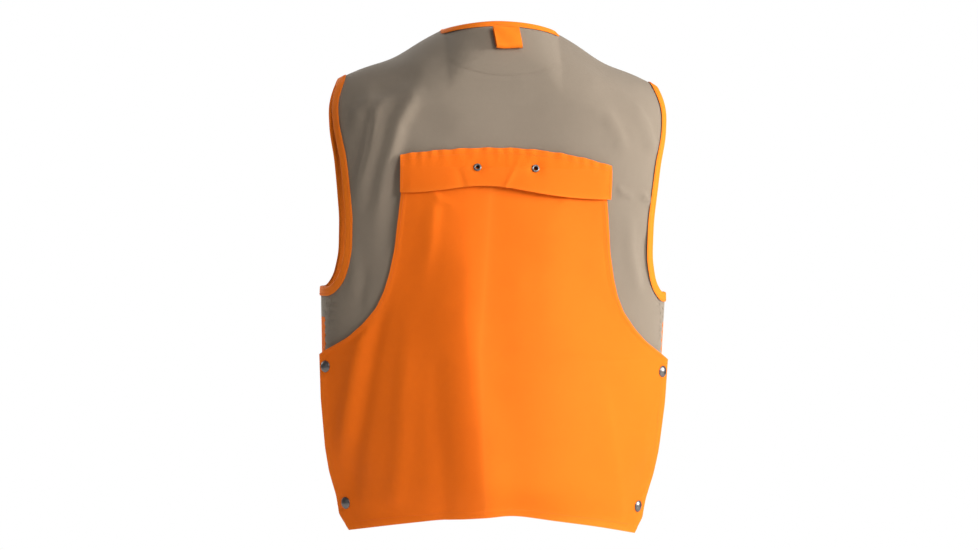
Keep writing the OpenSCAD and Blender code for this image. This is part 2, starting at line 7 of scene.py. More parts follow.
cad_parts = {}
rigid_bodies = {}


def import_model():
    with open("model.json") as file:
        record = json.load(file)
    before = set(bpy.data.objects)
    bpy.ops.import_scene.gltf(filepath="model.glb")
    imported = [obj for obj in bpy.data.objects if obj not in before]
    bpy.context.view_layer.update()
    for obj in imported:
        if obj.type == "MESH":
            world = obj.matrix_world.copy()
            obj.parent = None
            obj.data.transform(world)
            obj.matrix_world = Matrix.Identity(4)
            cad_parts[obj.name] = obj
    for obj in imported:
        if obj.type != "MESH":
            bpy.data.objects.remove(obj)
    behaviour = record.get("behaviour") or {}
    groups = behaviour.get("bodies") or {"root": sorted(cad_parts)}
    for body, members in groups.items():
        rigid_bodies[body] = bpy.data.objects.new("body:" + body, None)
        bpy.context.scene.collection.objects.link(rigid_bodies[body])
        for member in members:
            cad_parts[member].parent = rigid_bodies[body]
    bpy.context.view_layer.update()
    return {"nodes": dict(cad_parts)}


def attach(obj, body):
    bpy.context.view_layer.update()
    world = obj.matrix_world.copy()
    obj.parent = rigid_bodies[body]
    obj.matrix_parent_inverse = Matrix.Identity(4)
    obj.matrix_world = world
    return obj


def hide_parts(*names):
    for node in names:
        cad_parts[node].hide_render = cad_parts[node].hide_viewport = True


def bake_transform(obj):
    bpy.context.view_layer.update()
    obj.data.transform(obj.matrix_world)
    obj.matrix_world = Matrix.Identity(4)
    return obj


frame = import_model()
mm = 0.001


# Camera, light and floor

camera = {"target": (-0.0065, 0.0, -0.326), "azimuth": -6.0, "elevation": 1.0,
          "distance": 5.0, "lens": 137.7, "roll": 1.1}
lamps = [
    {"name": "keyLight", "at": (3.5, -1.15, 0.6), "size": 1.2, "power": 190, "tint": (1.0, 0.98, 0.95)},
    {"name": "topLight", "at": (0.9, -2.0, 2.6), "size": 1.8, "power": 30, "tint": (1.0, 1.0, 1.0)},
    {"name": "softKey", "at": (1.5, -2.6, 1.0), "size": 1.0, "power": 50, "tint": (1.0, 0.99, 0.98)},
    {"name": "fillLight", "at": (-2.8, -2.2, 0.3), "size": 2.2, "power": 3, "tint": (0.97, 0.98, 1.0)},
    {"name": "frontLight", "at": (-1.8, 3.2, 0.9), "size": 2.0, "power": 85, "tint": (1.0, 0.99, 0.97)},
]
studio = {"backdrop": 1.0, "ambient": 0.2, "floorZ": -1.12, "floorHalf": 2.3}


def addCamera(s):
    az, el = math.radians(s["azimuth"]), math.radians(s["elevation"])
    away = Vector((math.sin(az) * math.cos(el), -math.cos(az) * math.cos(el), math.sin(el)))
    data = bpy.data.cameras.new("studioCamera")
    data.lens, data.sensor_width = s["lens"], 36.0
    eye = bpy.data.objects.new("studioCamera", data)
    bpy.context.scene.collection.objects.link(eye)
    turn = (-away).to_track_quat("-Z", "Y").to_matrix().to_4x4()
    roll = Matrix.Rotation(math.radians(s["roll"]), 4, "Z")
    eye.matrix_world = Matrix.Translation(Vector(s["target"]) + away * s["distance"]) @ turn @ roll
    bpy.context.scene.camera = eye


def addLamps():
    for s in lamps:
        data = bpy.data.lights.new(s["name"], "AREA")
        data.shape, data.size, data.energy, data.color = "DISK", s["size"], s["power"], s["tint"]
        lamp = bpy.data.objects.new(s["name"], data)
        bpy.context.scene.collection.objects.link(lamp)
        lamp.location = s["at"]
        lamp.rotation_euler = (Vector((0, 0, -0.33)) - lamp.location).to_track_quat("-Z", "Y").to_euler()


# Shader maths

class Wire:
    def __init__(self, tree, socket):
        self.tree, self.socket = tree, socket

    def math(self, kind, *others):
        return addNode(self.tree, "ShaderNodeMath", {"operation": kind}, dict(enumerate(others)))

    def __add__(self, o): return self.math("ADD", self, o)
    def __radd__(self, o): return self.math("ADD", self, o)
    def __sub__(self, o): return self.math("SUBTRACT", self, o)
    def __rsub__(self, o): return self.math("SUBTRACT", o, self)
    def __mul__(self, o): return self.math("MULTIPLY", self, o)
    def __rmul__(self, o): return self.math("MULTIPLY", self, o)
    def __truediv__(self, o): return self.math("DIVIDE", self, o)
    def __pow__(self, o): return self.math("POWER", self, o)


def addNode(tree, kind, settings, inputs, out=0):
    node = tree.nodes.new(kind)
    for key, value in settings.items():
        setattr(node, key, value)
    for key, value in inputs.items():
        if isinstance(value, Wire):
            tree.links.new(value.socket, node.inputs[key])
        else:
            node.inputs[key].default_value = value
    return Wire(tree, node.outputs[out])


def sine(value): return value.math("SINE", value)
def mixColour(tree, share, a, b):
    return addNode(tree, "ShaderNodeMix", {"data_type": "RGBA"}, {0: share, 6: a, 7: b}, out=2)


def newMaterial(name, constants):
    material = bpy.data.materials.new(name)
    material.use_nodes = True
    tree = material.node_tree
    shader = tree.nodes["Principled BSDF"]
    for key, value in constants.items():
        shader.inputs[key].default_value = value
    return material, tree, shader


def feed(tree, shader, name, wire):
    tree.links.new(wire.socket, shader.inputs[name])


def rgba(colour, share=1.0): return (colour[0] * share, colour[1] * share, colour[2] * share, 1)


# Cloths: a weave in real size, fibres, slow changes of tone, and rubbed edges

def clothMaterial(name, s):
    material, tree, shader = newMaterial(name, {
        "Sheen Weight": s["sheen"], "Sheen Roughness": 0.45, "Sheen Tint": rgba(s["sheenTint"]),
        "Specular IOR Level": s["gloss"]})
    place = addNode(tree, "ShaderNodeTexCoord", {}, {}, out=3)
    if s.get("byUv", True):
        uv = addNode(tree, "ShaderNodeUVMap", {"uv_map": "cloth"}, {})
    else:
        uv = place
    parts = tree.nodes.new("ShaderNodeSeparateXYZ")
    tree.links.new(uv.socket, parts.inputs[0])
    across = Wire(tree, parts.outputs[0])
    along = Wire(tree, parts.outputs[1 if s.get("byUv", True) else 2])
    turn = 2000 * math.pi / s["pitch"]
    if s["weave"] == "twill":
        thread = sine((across + along) * turn) * 0.36 + sine((across - along) * (turn * 2)) * 0.14 + 0.5
    elif s["weave"] == "rib":
        thread = sine(along * turn) * 0.12 + sine(across * (turn * 0.8)) * 0.38 + 0.5
    else:
        thread = sine(across * turn) * sine(along * turn) * 0.5 + 0.5
    fibre = addNode(tree, "ShaderNodeTexNoise", {}, {0: place, "Scale": s["fibre"], "Detail": 4.0, "Roughness": 0.6})
    tone = addNode(tree, "ShaderNodeTexNoise", {}, {0: place, "Scale": 7.0, "Detail": 3.0, "Roughness": 0.55})
    slub = addNode(tree, "ShaderNodeTexNoise", {}, {0: place, "Scale": 120.0, "Detail": 2.0, "Roughness": 0.5})
    rubbed = addNode(tree, "ShaderNodeAttribute", {"attribute_name": "rubbed"}, {}, out=2)
    share = thread * 0.34 + fibre * 0.3 + tone * 0.26 + slub * 0.1
    colour = mixColour(tree, share, rgba(s["deep"]), rgba(s["light"]))
    colour = mixColour(tree, rubbed * s["wear"], colour, rgba(s["worn"]))
    feed(tree, shader, "Base Color", colour)
    feed(tree, shader, "Roughness", s["roughness"] - thread * 0.08 + (fibre - 0.5) * 0.12 + rubbed * 0.05)
    height = thread * 0.7 + fibre * 0.45 + slub * 0.5
    bump = addNode(tree, "ShaderNodeBump", {}, {"Strength": s["bump"], "Distance": 0.00035, "Height": height})
    feed(tree, shader, "Normal", bump)
    return material


def metalMaterial(name, s):
    material, tree, shader = newMaterial(name, {"Metallic": 1.0, "Specular IOR Level": 0.5})
    place = addNode(tree, "ShaderNodeTexCoord", {}, {}, out=3)
    fine = addNode(tree, "ShaderNodeTexNoise", {}, {0: place, "Scale": 900.0, "Detail": 3.0})
    patch = addNode(tree, "ShaderNodeTexNoise", {}, {0: place, "Scale": 160.0, "Detail": 4.0, "Roughness": 0.65})
    colour = mixColour(tree, patch * 0.8 + fine * 0.2, rgba(s["dark"]), rgba(s["light"]))
    feed(tree, shader, "Base Color", colour)
    feed(tree, shader, "Roughness", patch * 0.22 + fine * 0.1 + s["roughness"])
    feed(tree, shader, "Normal", addNode(tree, "ShaderNodeBump", {}, {
        "Strength": 0.25, "Distance": 0.00008, "Height": patch * 0.6 + fine * 0.4}))
    return material


khaki = {"deep": (0.175, 0.138, 0.102), "light": (0.290, 0.238, 0.184), "worn": (0.36, 0.31, 0.25), "wear": 0.22,
         "weave": "twill", "pitch": 0.85, "fibre": 1400.0, "roughness": 0.84, "bump": 0.55, "sheen": 0.25,
         "sheenTint": (0.9, 0.85, 0.78), "gloss": 0.14}
blaze = {"deep": (0.80, 0.125, 0.005), "light": (0.95, 0.185, 0.008), "worn": (1.0, 0.26, 0.03), "wear": 0.25,
         "weave": "twill", "pitch": 0.6, "fibre": 1500.0, "roughness": 0.74, "bump": 0.42, "sheen": 0.05,
         "sheenTint": (1.0, 0.5, 0.15), "gloss": 0.1}
tape = dict(blaze, deep=(0.86, 0.16, 0.008), light=(1.0, 0.24, 0.014), weave="rib", pitch=0.9, bump=0.6)
label = dict(khaki, deep=(0.70, 0.69, 0.66), light=(0.86, 0.85, 0.82), worn=(0.9, 0.9, 0.88), weave="plain",
             pitch=0.4, roughness=0.5, gloss=0.5)
thread = dict(blaze, deep=(0.80, 0.13, 0.02), light=(0.96, 0.22, 0.035), byUv=False, weave="plain", pitch=0.35)
khakiThread = dict(khaki, byUv=False, weave="plain", pitch=0.35)
mats = {
    "khaki": clothMaterial("khakiTwill", khaki),
    "blaze": clothMaterial("blazeCloth", blaze),
    "tape": clothMaterial("bindingTape", tape),
    "label": clothMaterial("labelSatin", label),
    "thread": clothMaterial("orangeThread", thread),
    "khakiThread": clothMaterial("khakiThread", khakiThread),
    "pad": clothMaterial("padCloth", dict(blaze, byUv=False)),
    "gunmetal": metalMaterial("gunmetal", {"dark": (0.07, 0.065, 0.065), "light": (0.26, 0.24, 0.235),
                                           "roughness": 0.22}),
    "brass": metalMaterial("zipBrass", {"dark": (0.22, 0.16, 0.08), "light": (0.52, 0.41, 0.23), "roughness": 0.24}),
}
print("materials made")


# The vest's form, in millimetres, as the design has it

form = {"neckHalf": 75.0, "neckRise": 55.0, "shoulderHalf": 212.0, "shoulderDrop": 68.0, "roll": 90.0,
        "frontNeck": 110.0, "armholeLow": -346.0, "waist": -385.0, "hem": -636.0, "bagHem": -642.0,
        "mouth": -184.0, "corner": -434.0, "hemDrop": 26.0, "bagFull": 39.0, "backNeckRise": 10.0,
        "panelEdge": 9.0, "bagBase": 4.0, "bagSideBase": 7.4}
shoulderFall = form["shoulderDrop"] / (form["shoulderHalf"] - form["neckHalf"])


def curveOf(rows, soften=0.0):
    places, values = np.array(sorted(rows), float).T
    fine = np.arange(places[0], places[-1] + 0.25, 0.5)
    level = np.interp(fine, places, values)
    if soften:
        reach = int(4 * soften)
        kernel = np.exp(-(np.arange(-reach, reach + 1) / (2 * soften)) ** 2)
        level = np.pad(level, reach, mode="reflect", reflect_type="odd")
        level = np.convolve(level, kernel / kernel.sum(), "valid")
    return lambda at: np.interp(at, fine, level)


sectionHalf = curveOf([(-640, 198), (-621, 200), (-599, 204), (-569, 213), (-541, 219), (-485, 226), (-430, 228),
                       (-346, 231), (-200, 236)], 9)
armhole = curveOf([(-346, 221), (-332, 210), (-300, 203), (-252, 203), (-204, 208), (-172, 212), (-140, 219),
                   (-108, 222), (-92, 220), (-68, 212)], 7)
backDepth = curveOf([(-640, 112), (-430, 108), (-300, 116), (-200, 118), (-150, 116), (-100, 109), (-50, 95),
                     (-20, 84), (0, 76), (10, 72)], 6)
frontDepth = curveOf([(-640, 122), (-120, 106), (-90, 97), (-60, 84), (-30, 66), (0, 45)], 6)
backPower = curveOf([(-430, 2), (-200, 3)], 12)
bagCurve = curveOf([(-434, 233), (-430, 228), (-422, 216), (-410, 198), (-392, 180), (-370, 163.5), (-348, 154),
                    (-326, 148), (-292, 142), (-266, 140), (-223, 136), (-184, 134)], 4)
bagSide = curveOf([(-642, 190), (-621, 203), (-614, 204), (-599, 207), (-569, 217), (-541, 223), (-485, 230),
                   (-434, 233)], 3)
bagFullness = curveOf([(-642, 0.3), (-600, 0.9), (-520, 1), (-400, 0.7), (-250, 0.25), (-184, 0.14)], 12)


def bagHalf(z): return np.where(z > form["corner"], bagCurve(z), bagSide(z))
def unit(t): return np.clip(t, 0, 1)
def ease(t): return unit(t) ** 2 * (3 - 2 * unit(t))
def mix(a, b, t): return a + (b - a) * t
def point(x, y, z): return np.stack(np.broadcast_arrays(x, y, z), -1).astype(float)


def ridge(x):
    x = np.abs(x)
    return np.where(x < form["neckHalf"], form["neckRise"] * (1 - (x / form["neckHalf"]) ** 2),
                    -shoulderFall * (x - form["neckHalf"]))


def roll(x, z):
    t = unit((ridge(x) - z) / form["roll"])
    return np.sqrt(t * (2 - t))


def bulge(x, z, power): return np.sqrt(np.maximum(0, 1 - (np.abs(x) / sectionHalf(z)) ** power))
def slump(x, z): return z - 6.5 * np.exp(-((np.abs(x) - 140) / 32) ** 2) * ease(1 - (ridge(x) - z) / 45)
def backAt(x, z): return point(x, -backDepth(z) * bulge(x, z, backPower(z)) * roll(x, z) - 0.2, slump(x, z))
def frontAt(x, z): return point(x, frontDepth(z) * bulge(x, z, 2.5) * roll(x, z) + 0.2, slump(x, z))
def hemAt(x, z, amount): return z - amount * (x / 200) ** 2 * unit((-z - 440) / 200)


def bagDrop(x, z): return hemAt(x, z, form["hemDrop"]) + 7 * np.exp(-((x + 8) / 60) ** 2) * unit((-z - 540) / 100)


def sideAt(angle, z):
    power = np.where(angle < 0, backPower(z), 2.5)
    depth = np.where(angle < 0, backDepth(z), frontDepth(z))
    return point(sectionHalf(z) * np.cos(angle) ** (2 / power), depth * np.sin(angle), z)


def sideShare(z): return mix(0.96, 0.985, unit((form["armholeLow"] - z) / 30))
def backAngle(z): return -np.arccos(sideShare(z) ** (backPower(z) / 2))
def frontAngle(z, x): return np.arccos(np.minimum(1, x / sectionHalf(z)) ** 1.25)


# Folds: each is a soft ridge or furrow along a drawn line, with its own width on either side

def drawnFold(height, width, ends, *line):
    return {"line": line, "height": height, "width": width, "ends": ends}


def foldHeight(x, z, fold):
    line = np.array(fold["line"], float)
    steps = np.diff(line, axis=0)
    runs = np.concatenate([[0], np.cumsum(np.hypot(steps[:, 0], steps[:, 1]))])
    near = np.full(np.broadcast(x, z).shape, 1e9)
    side, place = np.zeros_like(near), np.zeros_like(near)
    for k, (dx, dz) in enumerate(steps):
        t = unit(((x - line[k, 0]) * dx + (z - line[k, 1]) * dz) / (dx * dx + dz * dz))
        offX, offZ = x - line[k, 0] - t * dx, z - line[k, 1] - t * dz
        distance = np.hypot(offX, offZ)
        closer = distance < near
        near = np.where(closer, distance, near)
        side = np.where(closer, dx * offZ - dz * offX, side)
        place = np.where(closer, (runs[k] + t * math.hypot(dx, dz)) / runs[-1], place)
    width = np.where(side > 0, fold["width"][0], fold["width"][1])
    first, last = fold["ends"]
    taper = ease(place / max(first, 1e-3)) * ease((1 - place) / max(last, 1e-3))
    return fold["height"] * np.exp(-(near / width) ** 2) * taper


def ripple(x, z, seed, size, height):
    rng = np.random.default_rng(seed)
    total = 0
    for _ in range(7):
        turn, phase = rng.uniform(0, 2 * math.pi, 2)
        wave = 2 * math.pi / (size * rng.uniform(0.7, 1.5))
        total = total + np.sin((x * math.cos(turn) + z * math.sin(turn)) * wave + phase)
    return total * height / 4


backFolds = [
    drawnFold(6.4, (9, 11), (0.2, 0.4), (-146, -84), (-166, -114), (-173, -158), (-185, -206), (-190, -264)),
    drawnFold(6.6, (9, 12), (0.25, 0.35), (-99, -76), (-118, -92), (-138, -127), (-152, -184),
              (-162, -236), (-170, -282)),
    drawnFold(3.6, (8, 10), (0.3, 0.5), (-165, -87), (-190, -114), (-198, -151)),
    drawnFold(-3.4, (13, 15), (0.4, 0.3), (-104, -54), (-140, -70), (-178, -95)),
    drawnFold(-3.6, (8, 10), (0.3, 0.25), (-138, -160), (-147, -242), (-156, -312)),
    drawnFold(-1.3, (2.6, 3.6), (0.2, 0.35), (-169, -112), (-176, -161), (-188, -214)),
    drawnFold(2.4, (8, 10), (0.35, 0.35), (-198, -276), (-190, -320), (-194, -372)),
    drawnFold(-2.2, (7, 9), (0.35, 0.3), (-176, -304), (-182, -345), (-186, -392)),
    drawnFold(1.9, (6, 12), (0.3, 0.4), (131, -97), (150, -131), (167, -170)),
    drawnFold(2.6, (7, 10), (0.3, 0.3), (169, -88), (190, -122), (204, -169)),
    drawnFold(-1.8, (13, 16), (0.4, 0.4), (110, -66), (142, -88), (176, -140)),
    drawnFold(2.2, (2.6, 5), (0.35, 0.35), (148, -205), (160, -214), (176, -217)),
    drawnFold(2.2, (2.8, 5), (0.35, 0.35), (183, -212), (196, -222), (204, -221)),
    drawnFold(2.4, (8, 11), (0.35, 0.35), (168, -232), (172, -290), (190, -360)),
    drawnFold(-1.8, (6, 8), (0.35, 0.35), (196, -250), (190, -300), (198, -350)),
    drawnFold(0.9, (18, 20), (0.4, 0.3), (-60, -84), (-66, -110), (-58, -146)),
]


def backLift(x, z):
    total = sum(foldHeight(x, z, f) for f in backFolds) + ripple(x, z, 3, 90, 0.5) + ripple(x, z, 5, 38, 0.16)
    facing = z + 64 * np.sqrt(np.maximum(0, 1 - (x / 104) ** 2))
    total = total - 0.8 * np.exp(-(facing / 2.2) ** 2) * ease((76 - np.abs(x)) / 8)
    edge = ease((armhole(np.clip(z, -346, -68)) + 12 - np.abs(x)) / 26)
    seam = ease((ridge(x) - z) / 24)
    pucker = 0.8 * np.sin(z * 2 * math.pi / 11 + 0.5 * np.sin(z / 9))
    pucker = pucker * ease((np.abs(x) - 208) / 10) * ease((-z - 350) / 10)
    return total * edge * seam + pucker


snapPlaces = [(225.0, -450.0), (195.0, -630.0)]
bagFolds = [
    drawnFold(9.0, (30, 56), (0.5, 0.02), (-52, -190), (-56, -300), (-54, -380), (-42, -470), (-29, -560),
              (-18, -660)),
    drawnFold(4.6, (11, 11), (0.25, 0.25), (-156, -316), (-172, -380), (-186, -446), (-196, -510),
              (-205, -590)),
    drawnFold(-3.6, (11, 14), (0.25, 0.15), (-146, -310), (-156, -360), (-165, -413), (-174, -466),
              (-181, -519), (-188, -573), (-189, -640)),
    drawnFold(3.2, (13, 13), (0.4, 0.1), (-122, -350), (-128, -489), (-130, -568), (-136, -640)),
    drawnFold(2.4, (9, 13), (0.3, 0.5), (-90, -200), (-97, -290), (-110, -371)),
    drawnFold(-3.0, (16, 14), (0.5, 0.05), (-92, -380), (-84, -500), (-74, -600), (-72, -650)),
    drawnFold(1.8, (10, 20), (0.3, 0.1), (128, -440), (150, -540), (170, -650)),
    drawnFold(1.2, (26, 26), (0.3, 0.4), (60, -210), (70, -330), (64, -460)),
    drawnFold(2.0, (12, 12), (0.3, 0.3), (206, -470), (204, -540), (198, -590)),
    drawnFold(1.2, (3, 6), (0.3, 0.5), (96, -206), (84, -224), (60, -236)),
    drawnFold(1.3, (3, 6), (0.3, 0.5), (-104, -206), (-84, -226), (-52, -238)),
]


def bagStand(x, z):
    base = mix(form["bagBase"], form["bagSideBase"], unit((-330 - z) / 90))
    return base + form["bagFull"] * bagFullness(z) * (1 - np.minimum(1, np.abs(x) / bagHalf(z)) ** 2) ** 2


def bagBulge(x, z):
    u, p, t = np.abs(x) / sectionHalf(z), backPower(z), 0.9
    at = np.sqrt(1 - t ** p)
    return np.where(u < t, np.sqrt(np.maximum(0, 1 - u ** p)), at - p * t ** (p - 1) / (2 * at) * (u - t))


def bagAt(x, z): return point(x, -backDepth(z) * bagBulge(x, z) - bagStand(x, z), z)


def awayFrom(x, z, places, reach):
    near = 0
    for px, pz in places:
        near = near + np.exp(-((np.abs(x) - px) ** 2 + (z - pz) ** 2) / reach ** 2)
    return 1 - np.minimum(1, near)


def bagLift(x, z):
    inside = ease((bagHalf(z) - np.abs(x)) / 24)
    folds = sum(foldHeight(x, z, f) for f in bagFolds)
    total = (folds + ripple(x, z, 11, 120, 0.9) + ripple(x, z, 12, 46, 0.22)) * inside
    below = backLift(x, z) * ease((230 - np.abs(x)) / 20) * ease((z + 434) / 12)
    return (total + below) * awayFrom(x, z, snapPlaces, 11)


def normalsOf(grid):
    across, along = np.gradient(grid, axis=0), np.gradient(grid, axis=1)
    n = np.cross(across, along)
    size = np.linalg.norm(n, axis=-1, keepdims=True)
    return n / np.maximum(size, 1e-9)


def surface(face, lift, x, z, sign=-1.0):
    h = 0.6
    x, z = np.broadcast_arrays(np.asarray(x, float), np.asarray(z, float))
    n = np.cross(face(x + h, z) - face(x - h, z), face(x, z + h) - face(x, z - h)) * (-sign)
    n = n / np.maximum(np.linalg.norm(n, axis=-1, keepdims=True), 1e-9)
    return face(x, z) + n * lift(x, z)[..., None], n


# Making pieces

def deselectAll():
    for o in bpy.context.view_layer.objects:
        o.select_set(False)


def makeActive(piece):
    deselectAll()
    piece.select_set(True)
    bpy.context.view_layer.objects.active = piece


def applyModifier(piece, kind, **settings):
    makeActive(piece)
    modifier = piece.modifiers.new(kind, kind)
    for key, value in settings.items():
        setattr(modifier, key, value)
    bpy.ops.object.modifier_apply(modifier=modifier.name)


def smoothShade(piece, angle=40):
    makeActive(piece)
    bpy.ops.object.shade_smooth_by_angle(angle=math.radians(angle))


def flatMap(grid, turn=False):
    u = np.concatenate([np.zeros((1, grid.shape[1])), np.cumsum(np.linalg.norm(np.diff(grid, axis=0), axis=-1), 0)])
    v = np.concatenate([np.zeros((grid.shape[0], 1)), np.cumsum(np.linalg.norm(np.diff(grid, axis=1), axis=-1), 1)], 1)
    u = u - u[len(u) // 2]
    return np.stack([v, u] if turn else [u, v], -1) * mm


def sheetPiece(name, grids, wall, material, wornEdges=6.0, closedAcross=False, turnMap=False):
    points, faces, maps, worn, start = [], [], [], [], 0
    for grid in grids:
        nu, nv = grid.shape[:2]
        flat = flatMap(grid, turnMap)
        u, v = flat[..., 0], flat[..., 1]
        edge = np.minimum(u - u.min(0), u.max(0) - u)
        edge = np.minimum(edge, np.minimum(v - v.min(1)[:, None], v.max(1)[:, None] - v)) / mm
        index = start + np.arange(nu * nv).reshape(nu, nv)
        quads = np.stack([index[:-1, :-1], index[1:, :-1], index[1:, 1:], index[:-1, 1:]], -1).reshape(-1, 4)
        if closedAcross:
            last = np.stack([index[-1, :-1], index[0, :-1], index[0, 1:], index[-1, 1:]], -1)
            quads = np.concatenate([quads, last])
        points.append(grid.reshape(-1, 3) * mm), faces.append(quads)
        maps.append(flat.reshape(-1, 2)), worn.append(np.exp(-edge.reshape(-1) / wornEdges))
        start += nu * nv
    points, faces, maps, worn = (np.concatenate(a) for a in (points, faces, maps, worn))
    mesh = bpy.data.meshes.new(name)
    mesh.from_pydata(points.tolist(), [], faces.tolist())
    uv = mesh.uv_layers.new(name="cloth")
    corners = np.zeros(len(mesh.loops), int)
    mesh.loops.foreach_get("vertex_index", corners)
    uv.data.foreach_set("uv", maps[corners].ravel())
    mesh.attributes.new("rubbed", "FLOAT", "POINT").data.foreach_set("value", worn.astype(np.float32))
    mesh.materials.append(mats[material])
    piece = bpy.data.objects.new(name, mesh)
    bpy.context.scene.collection.objects.link(piece)
    if len(grids) > 1:
        makeActive(piece)
        bpy.ops.object.mode_set(mode="EDIT")
        bpy.ops.mesh.select_all(action="SELECT")
        bpy.ops.mesh.remove_doubles(threshold=0.00002)
        bpy.ops.object.mode_set(mode="OBJECT")
    if wall:
        applyModifier(piece, "SOLIDIFY", thickness=wall * mm, offset=-1.0, use_even_offset=False)
    smoothShade(piece)
    return piece


def bandPiece(name, edge, normal, sign, s, material="tape", closed=False):
    tangent = np.gradient(edge, axis=0)
    if closed:
        tangent = (np.roll(edge, -1, 0) - np.roll(edge, 1, 0))
    tangent = tangent / np.linalg.norm(tangent, axis=1, keepdims=True)
    normal = normal - (normal * tangent).sum(1, keepdims=True) * tangent
    normal = normal / np.linalg.norm(normal, axis=1, keepdims=True)
    inward = np.cross(normal, tangent) * sign
    w, out, back, t = s["width"], s["over"], s["under"], s["thick"]
    bend = [(math.sin(a), math.cos(a)) for a in np.linspace(0, math.pi, 9)]
    mid, radius = (out - back) / 2, (out + back) / 2
    outer = [(w, out), (w * 0.86, out + 0.15), (w * 0.5, out + 0.3), (w * 0.2, out + 0.15)]
    outer += [(-radius * a * 0.8 - 0.2, mid + radius * b) for a, b in bend]
    outer += [(w * 0.2, -back - 0.15), (w * 0.5, -back - 0.3), (w * 0.86, -back - 0.15), (w, -back)]
    tight = max(radius - t, 0.2)
    inner = [(w, out - t), (w * 0.5, out - t + 0.2)]
    inner += [(-tight * a * 0.8 - 0.1, mid + tight * b) for a, b in bend[1:-1]]
    inner += [(w * 0.5, -back + t - 0.2), (w, -back + t)]
    loop = np.array(outer + inner[::-1])
    grid = edge[None] + inward[None] * loop[:, 0, None, None] + normal[None] * loop[:, 1, None, None]
    if sign < 0:
        grid = grid[::-1]
    if closed:
        grid = np.concatenate([grid, grid[:, :1]], 1)
    piece = sheetPiece(name, [grid], 0, material, closedAcross=True)
    makeActive(piece)
    bpy.ops.object.mode_set(mode="EDIT")
    bpy.ops.mesh.select_all(action="SELECT")
    bpy.ops.mesh.remove_doubles(threshold=0.00001)
    if not closed:
        bpy.ops.mesh.select_all(action="DESELECT")
        bpy.ops.mesh.select_non_manifold()
        bpy.ops.mesh.fill_holes(sides=0)
        bpy.ops.mesh.select_all(action="SELECT")
    bpy.ops.mesh.normals_make_consistent(inside=False)
    bpy.ops.object.mode_set(mode="OBJECT")
    smoothShade(piece, 50)
    return piece, edge + inward * (w - 2.2) + normal * (out + 0.35), normal


# Stitches: one grain of thread, modelled once

stitch = {"half": 1.35, "radius": 0.34, "pitch": 3.3}


def modelStitch():
    deselectAll()
    bpy.ops.mesh.primitive_uv_sphere_add(segments=6, ring_count=5, radius=1.0, rotation=(0, math.pi / 2, 0))
    grain = bpy.context.object
    bpy.ops.object.mode_set(mode="EDIT")
    bpy.ops.mesh.select_all(action="SELECT")
    bpy.ops.object.mode_set(mode="OBJECT")
    bpy.ops.object.transform_apply(location=True, rotation=True, scale=True)
    points = np.array([v.co for v in grain.data.vertices]) * (stitch["half"], stitch["radius"], stitch["radius"])
    points[:, 2] -= 0.12 * (points[:, 0] / stitch["half"]) ** 2
    faces = [tuple(p.vertices) for p in grain.data.polygons]
    bpy.data.objects.remove(grain)
    return points, faces


grainPoints, grainFaces = modelStitch()


def sewLine(name, lines, material="thread", pitch=None):
    pitch = pitch or stitch["pitch"]
    allPoints, allFaces, start = [], [], 0
    for path, normal in lines:
        run = np.concatenate([[0], np.cumsum(np.linalg.norm(np.diff(path, axis=0), axis=1))])
        places = np.arange(pitch * 0.6, run[-1] - pitch * 0.4, pitch)
        at = np.stack([np.interp(places, run, path[:, k]) for k in range(3)], -1)
        ahead = np.stack([np.interp(places + 0.8, run, path[:, k]) - np.interp(places - 0.8, run, path[:, k])
                          for k in range(3)], -1)
        up = np.stack([np.interp(places, run, normal[:, k]) for k in range(3)], -1)
        ahead /= np.linalg.norm(ahead, axis=1, keepdims=True)
        up -= (up * ahead).sum(1, keepdims=True) * ahead
        up /= np.linalg.norm(up, axis=1, keepdims=True)
        across = np.cross(up, ahead)
        grains = (at[:, None] + ahead[:, None] * grainPoints[None, :, :1] + across[:, None] * grainPoints[None, :, 1:2]
                  + up[:, None] * grainPoints[None, :, 2:])
        allPoints.append(grains.reshape(-1, 3) * mm)
        for k in range(len(places)):
            allFaces += [tuple(i + start + k * len(grainPoints) for i in f) for f in grainFaces]
        start += grains.shape[0] * grains.shape[1]
    mesh = bpy.data.meshes.new(name)
    mesh.from_pydata(np.concatenate(allPoints).tolist(), [], allFaces)
    mesh.polygons.foreach_set("use_smooth", [True] * len(mesh.polygons))
    mesh.materials.append(mats[material])
    piece = bpy.data.objects.new(name, mesh)
    bpy.context.scene.collection.objects.link(piece)
    return piece


# Fronts and side edges: each piece only has its object transform baked into its mesh, nothing is bent or hinged here

def bendFront(piece):
    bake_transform(piece)


def bendEdge(piece, side):
    d = np.array([side * 0.9913, 0, -0.1318])
    hinge = np.array([side * 0.192, -0.0804, -0.407])
    "right_side_edge" if side > 0 else "left_side_edge"
    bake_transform(piece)


def declare(piece, flat, area=None):
    measured = sum(p.area for p in piece.data.polygons) / 2
    print(piece.name, "measured", round(measured, 4), "flat", flat, area)


# Back

print("back")
rows = np.concatenate([np.linspace(form["hem"], -440, 56), np.linspace(-436, -92, 90), np.linspace(-88, 0, 34)])


def backHalf(z):
    low = sideShare(z) * sectionHalf(z)
    mid = armhole(z)
    top = form["neckHalf"] - z / shoulderFall
    return np.where(z < form["armholeLow"], low, np.where(z < -form["shoulderDrop"], mid, top))


def backGrid():
    s = np.sin(np.linspace(-math.pi / 2, math.pi / 2, 181) * 0.92) / math.sin(math.pi / 2 * 0.92)
    x = s[:, None] * backHalf(rows)[None]
    z = hemAt(x, rows[None], 8)
    neck = form["backNeckRise"] * (1 - np.minimum(1, np.abs(x) / form["neckHalf"]) ** 2)
    z = z + neck * ease((z + 88) / 88)
    face = backAt(x, z)
    return face + normalsOf(face) * backLift(x, z)[..., None]


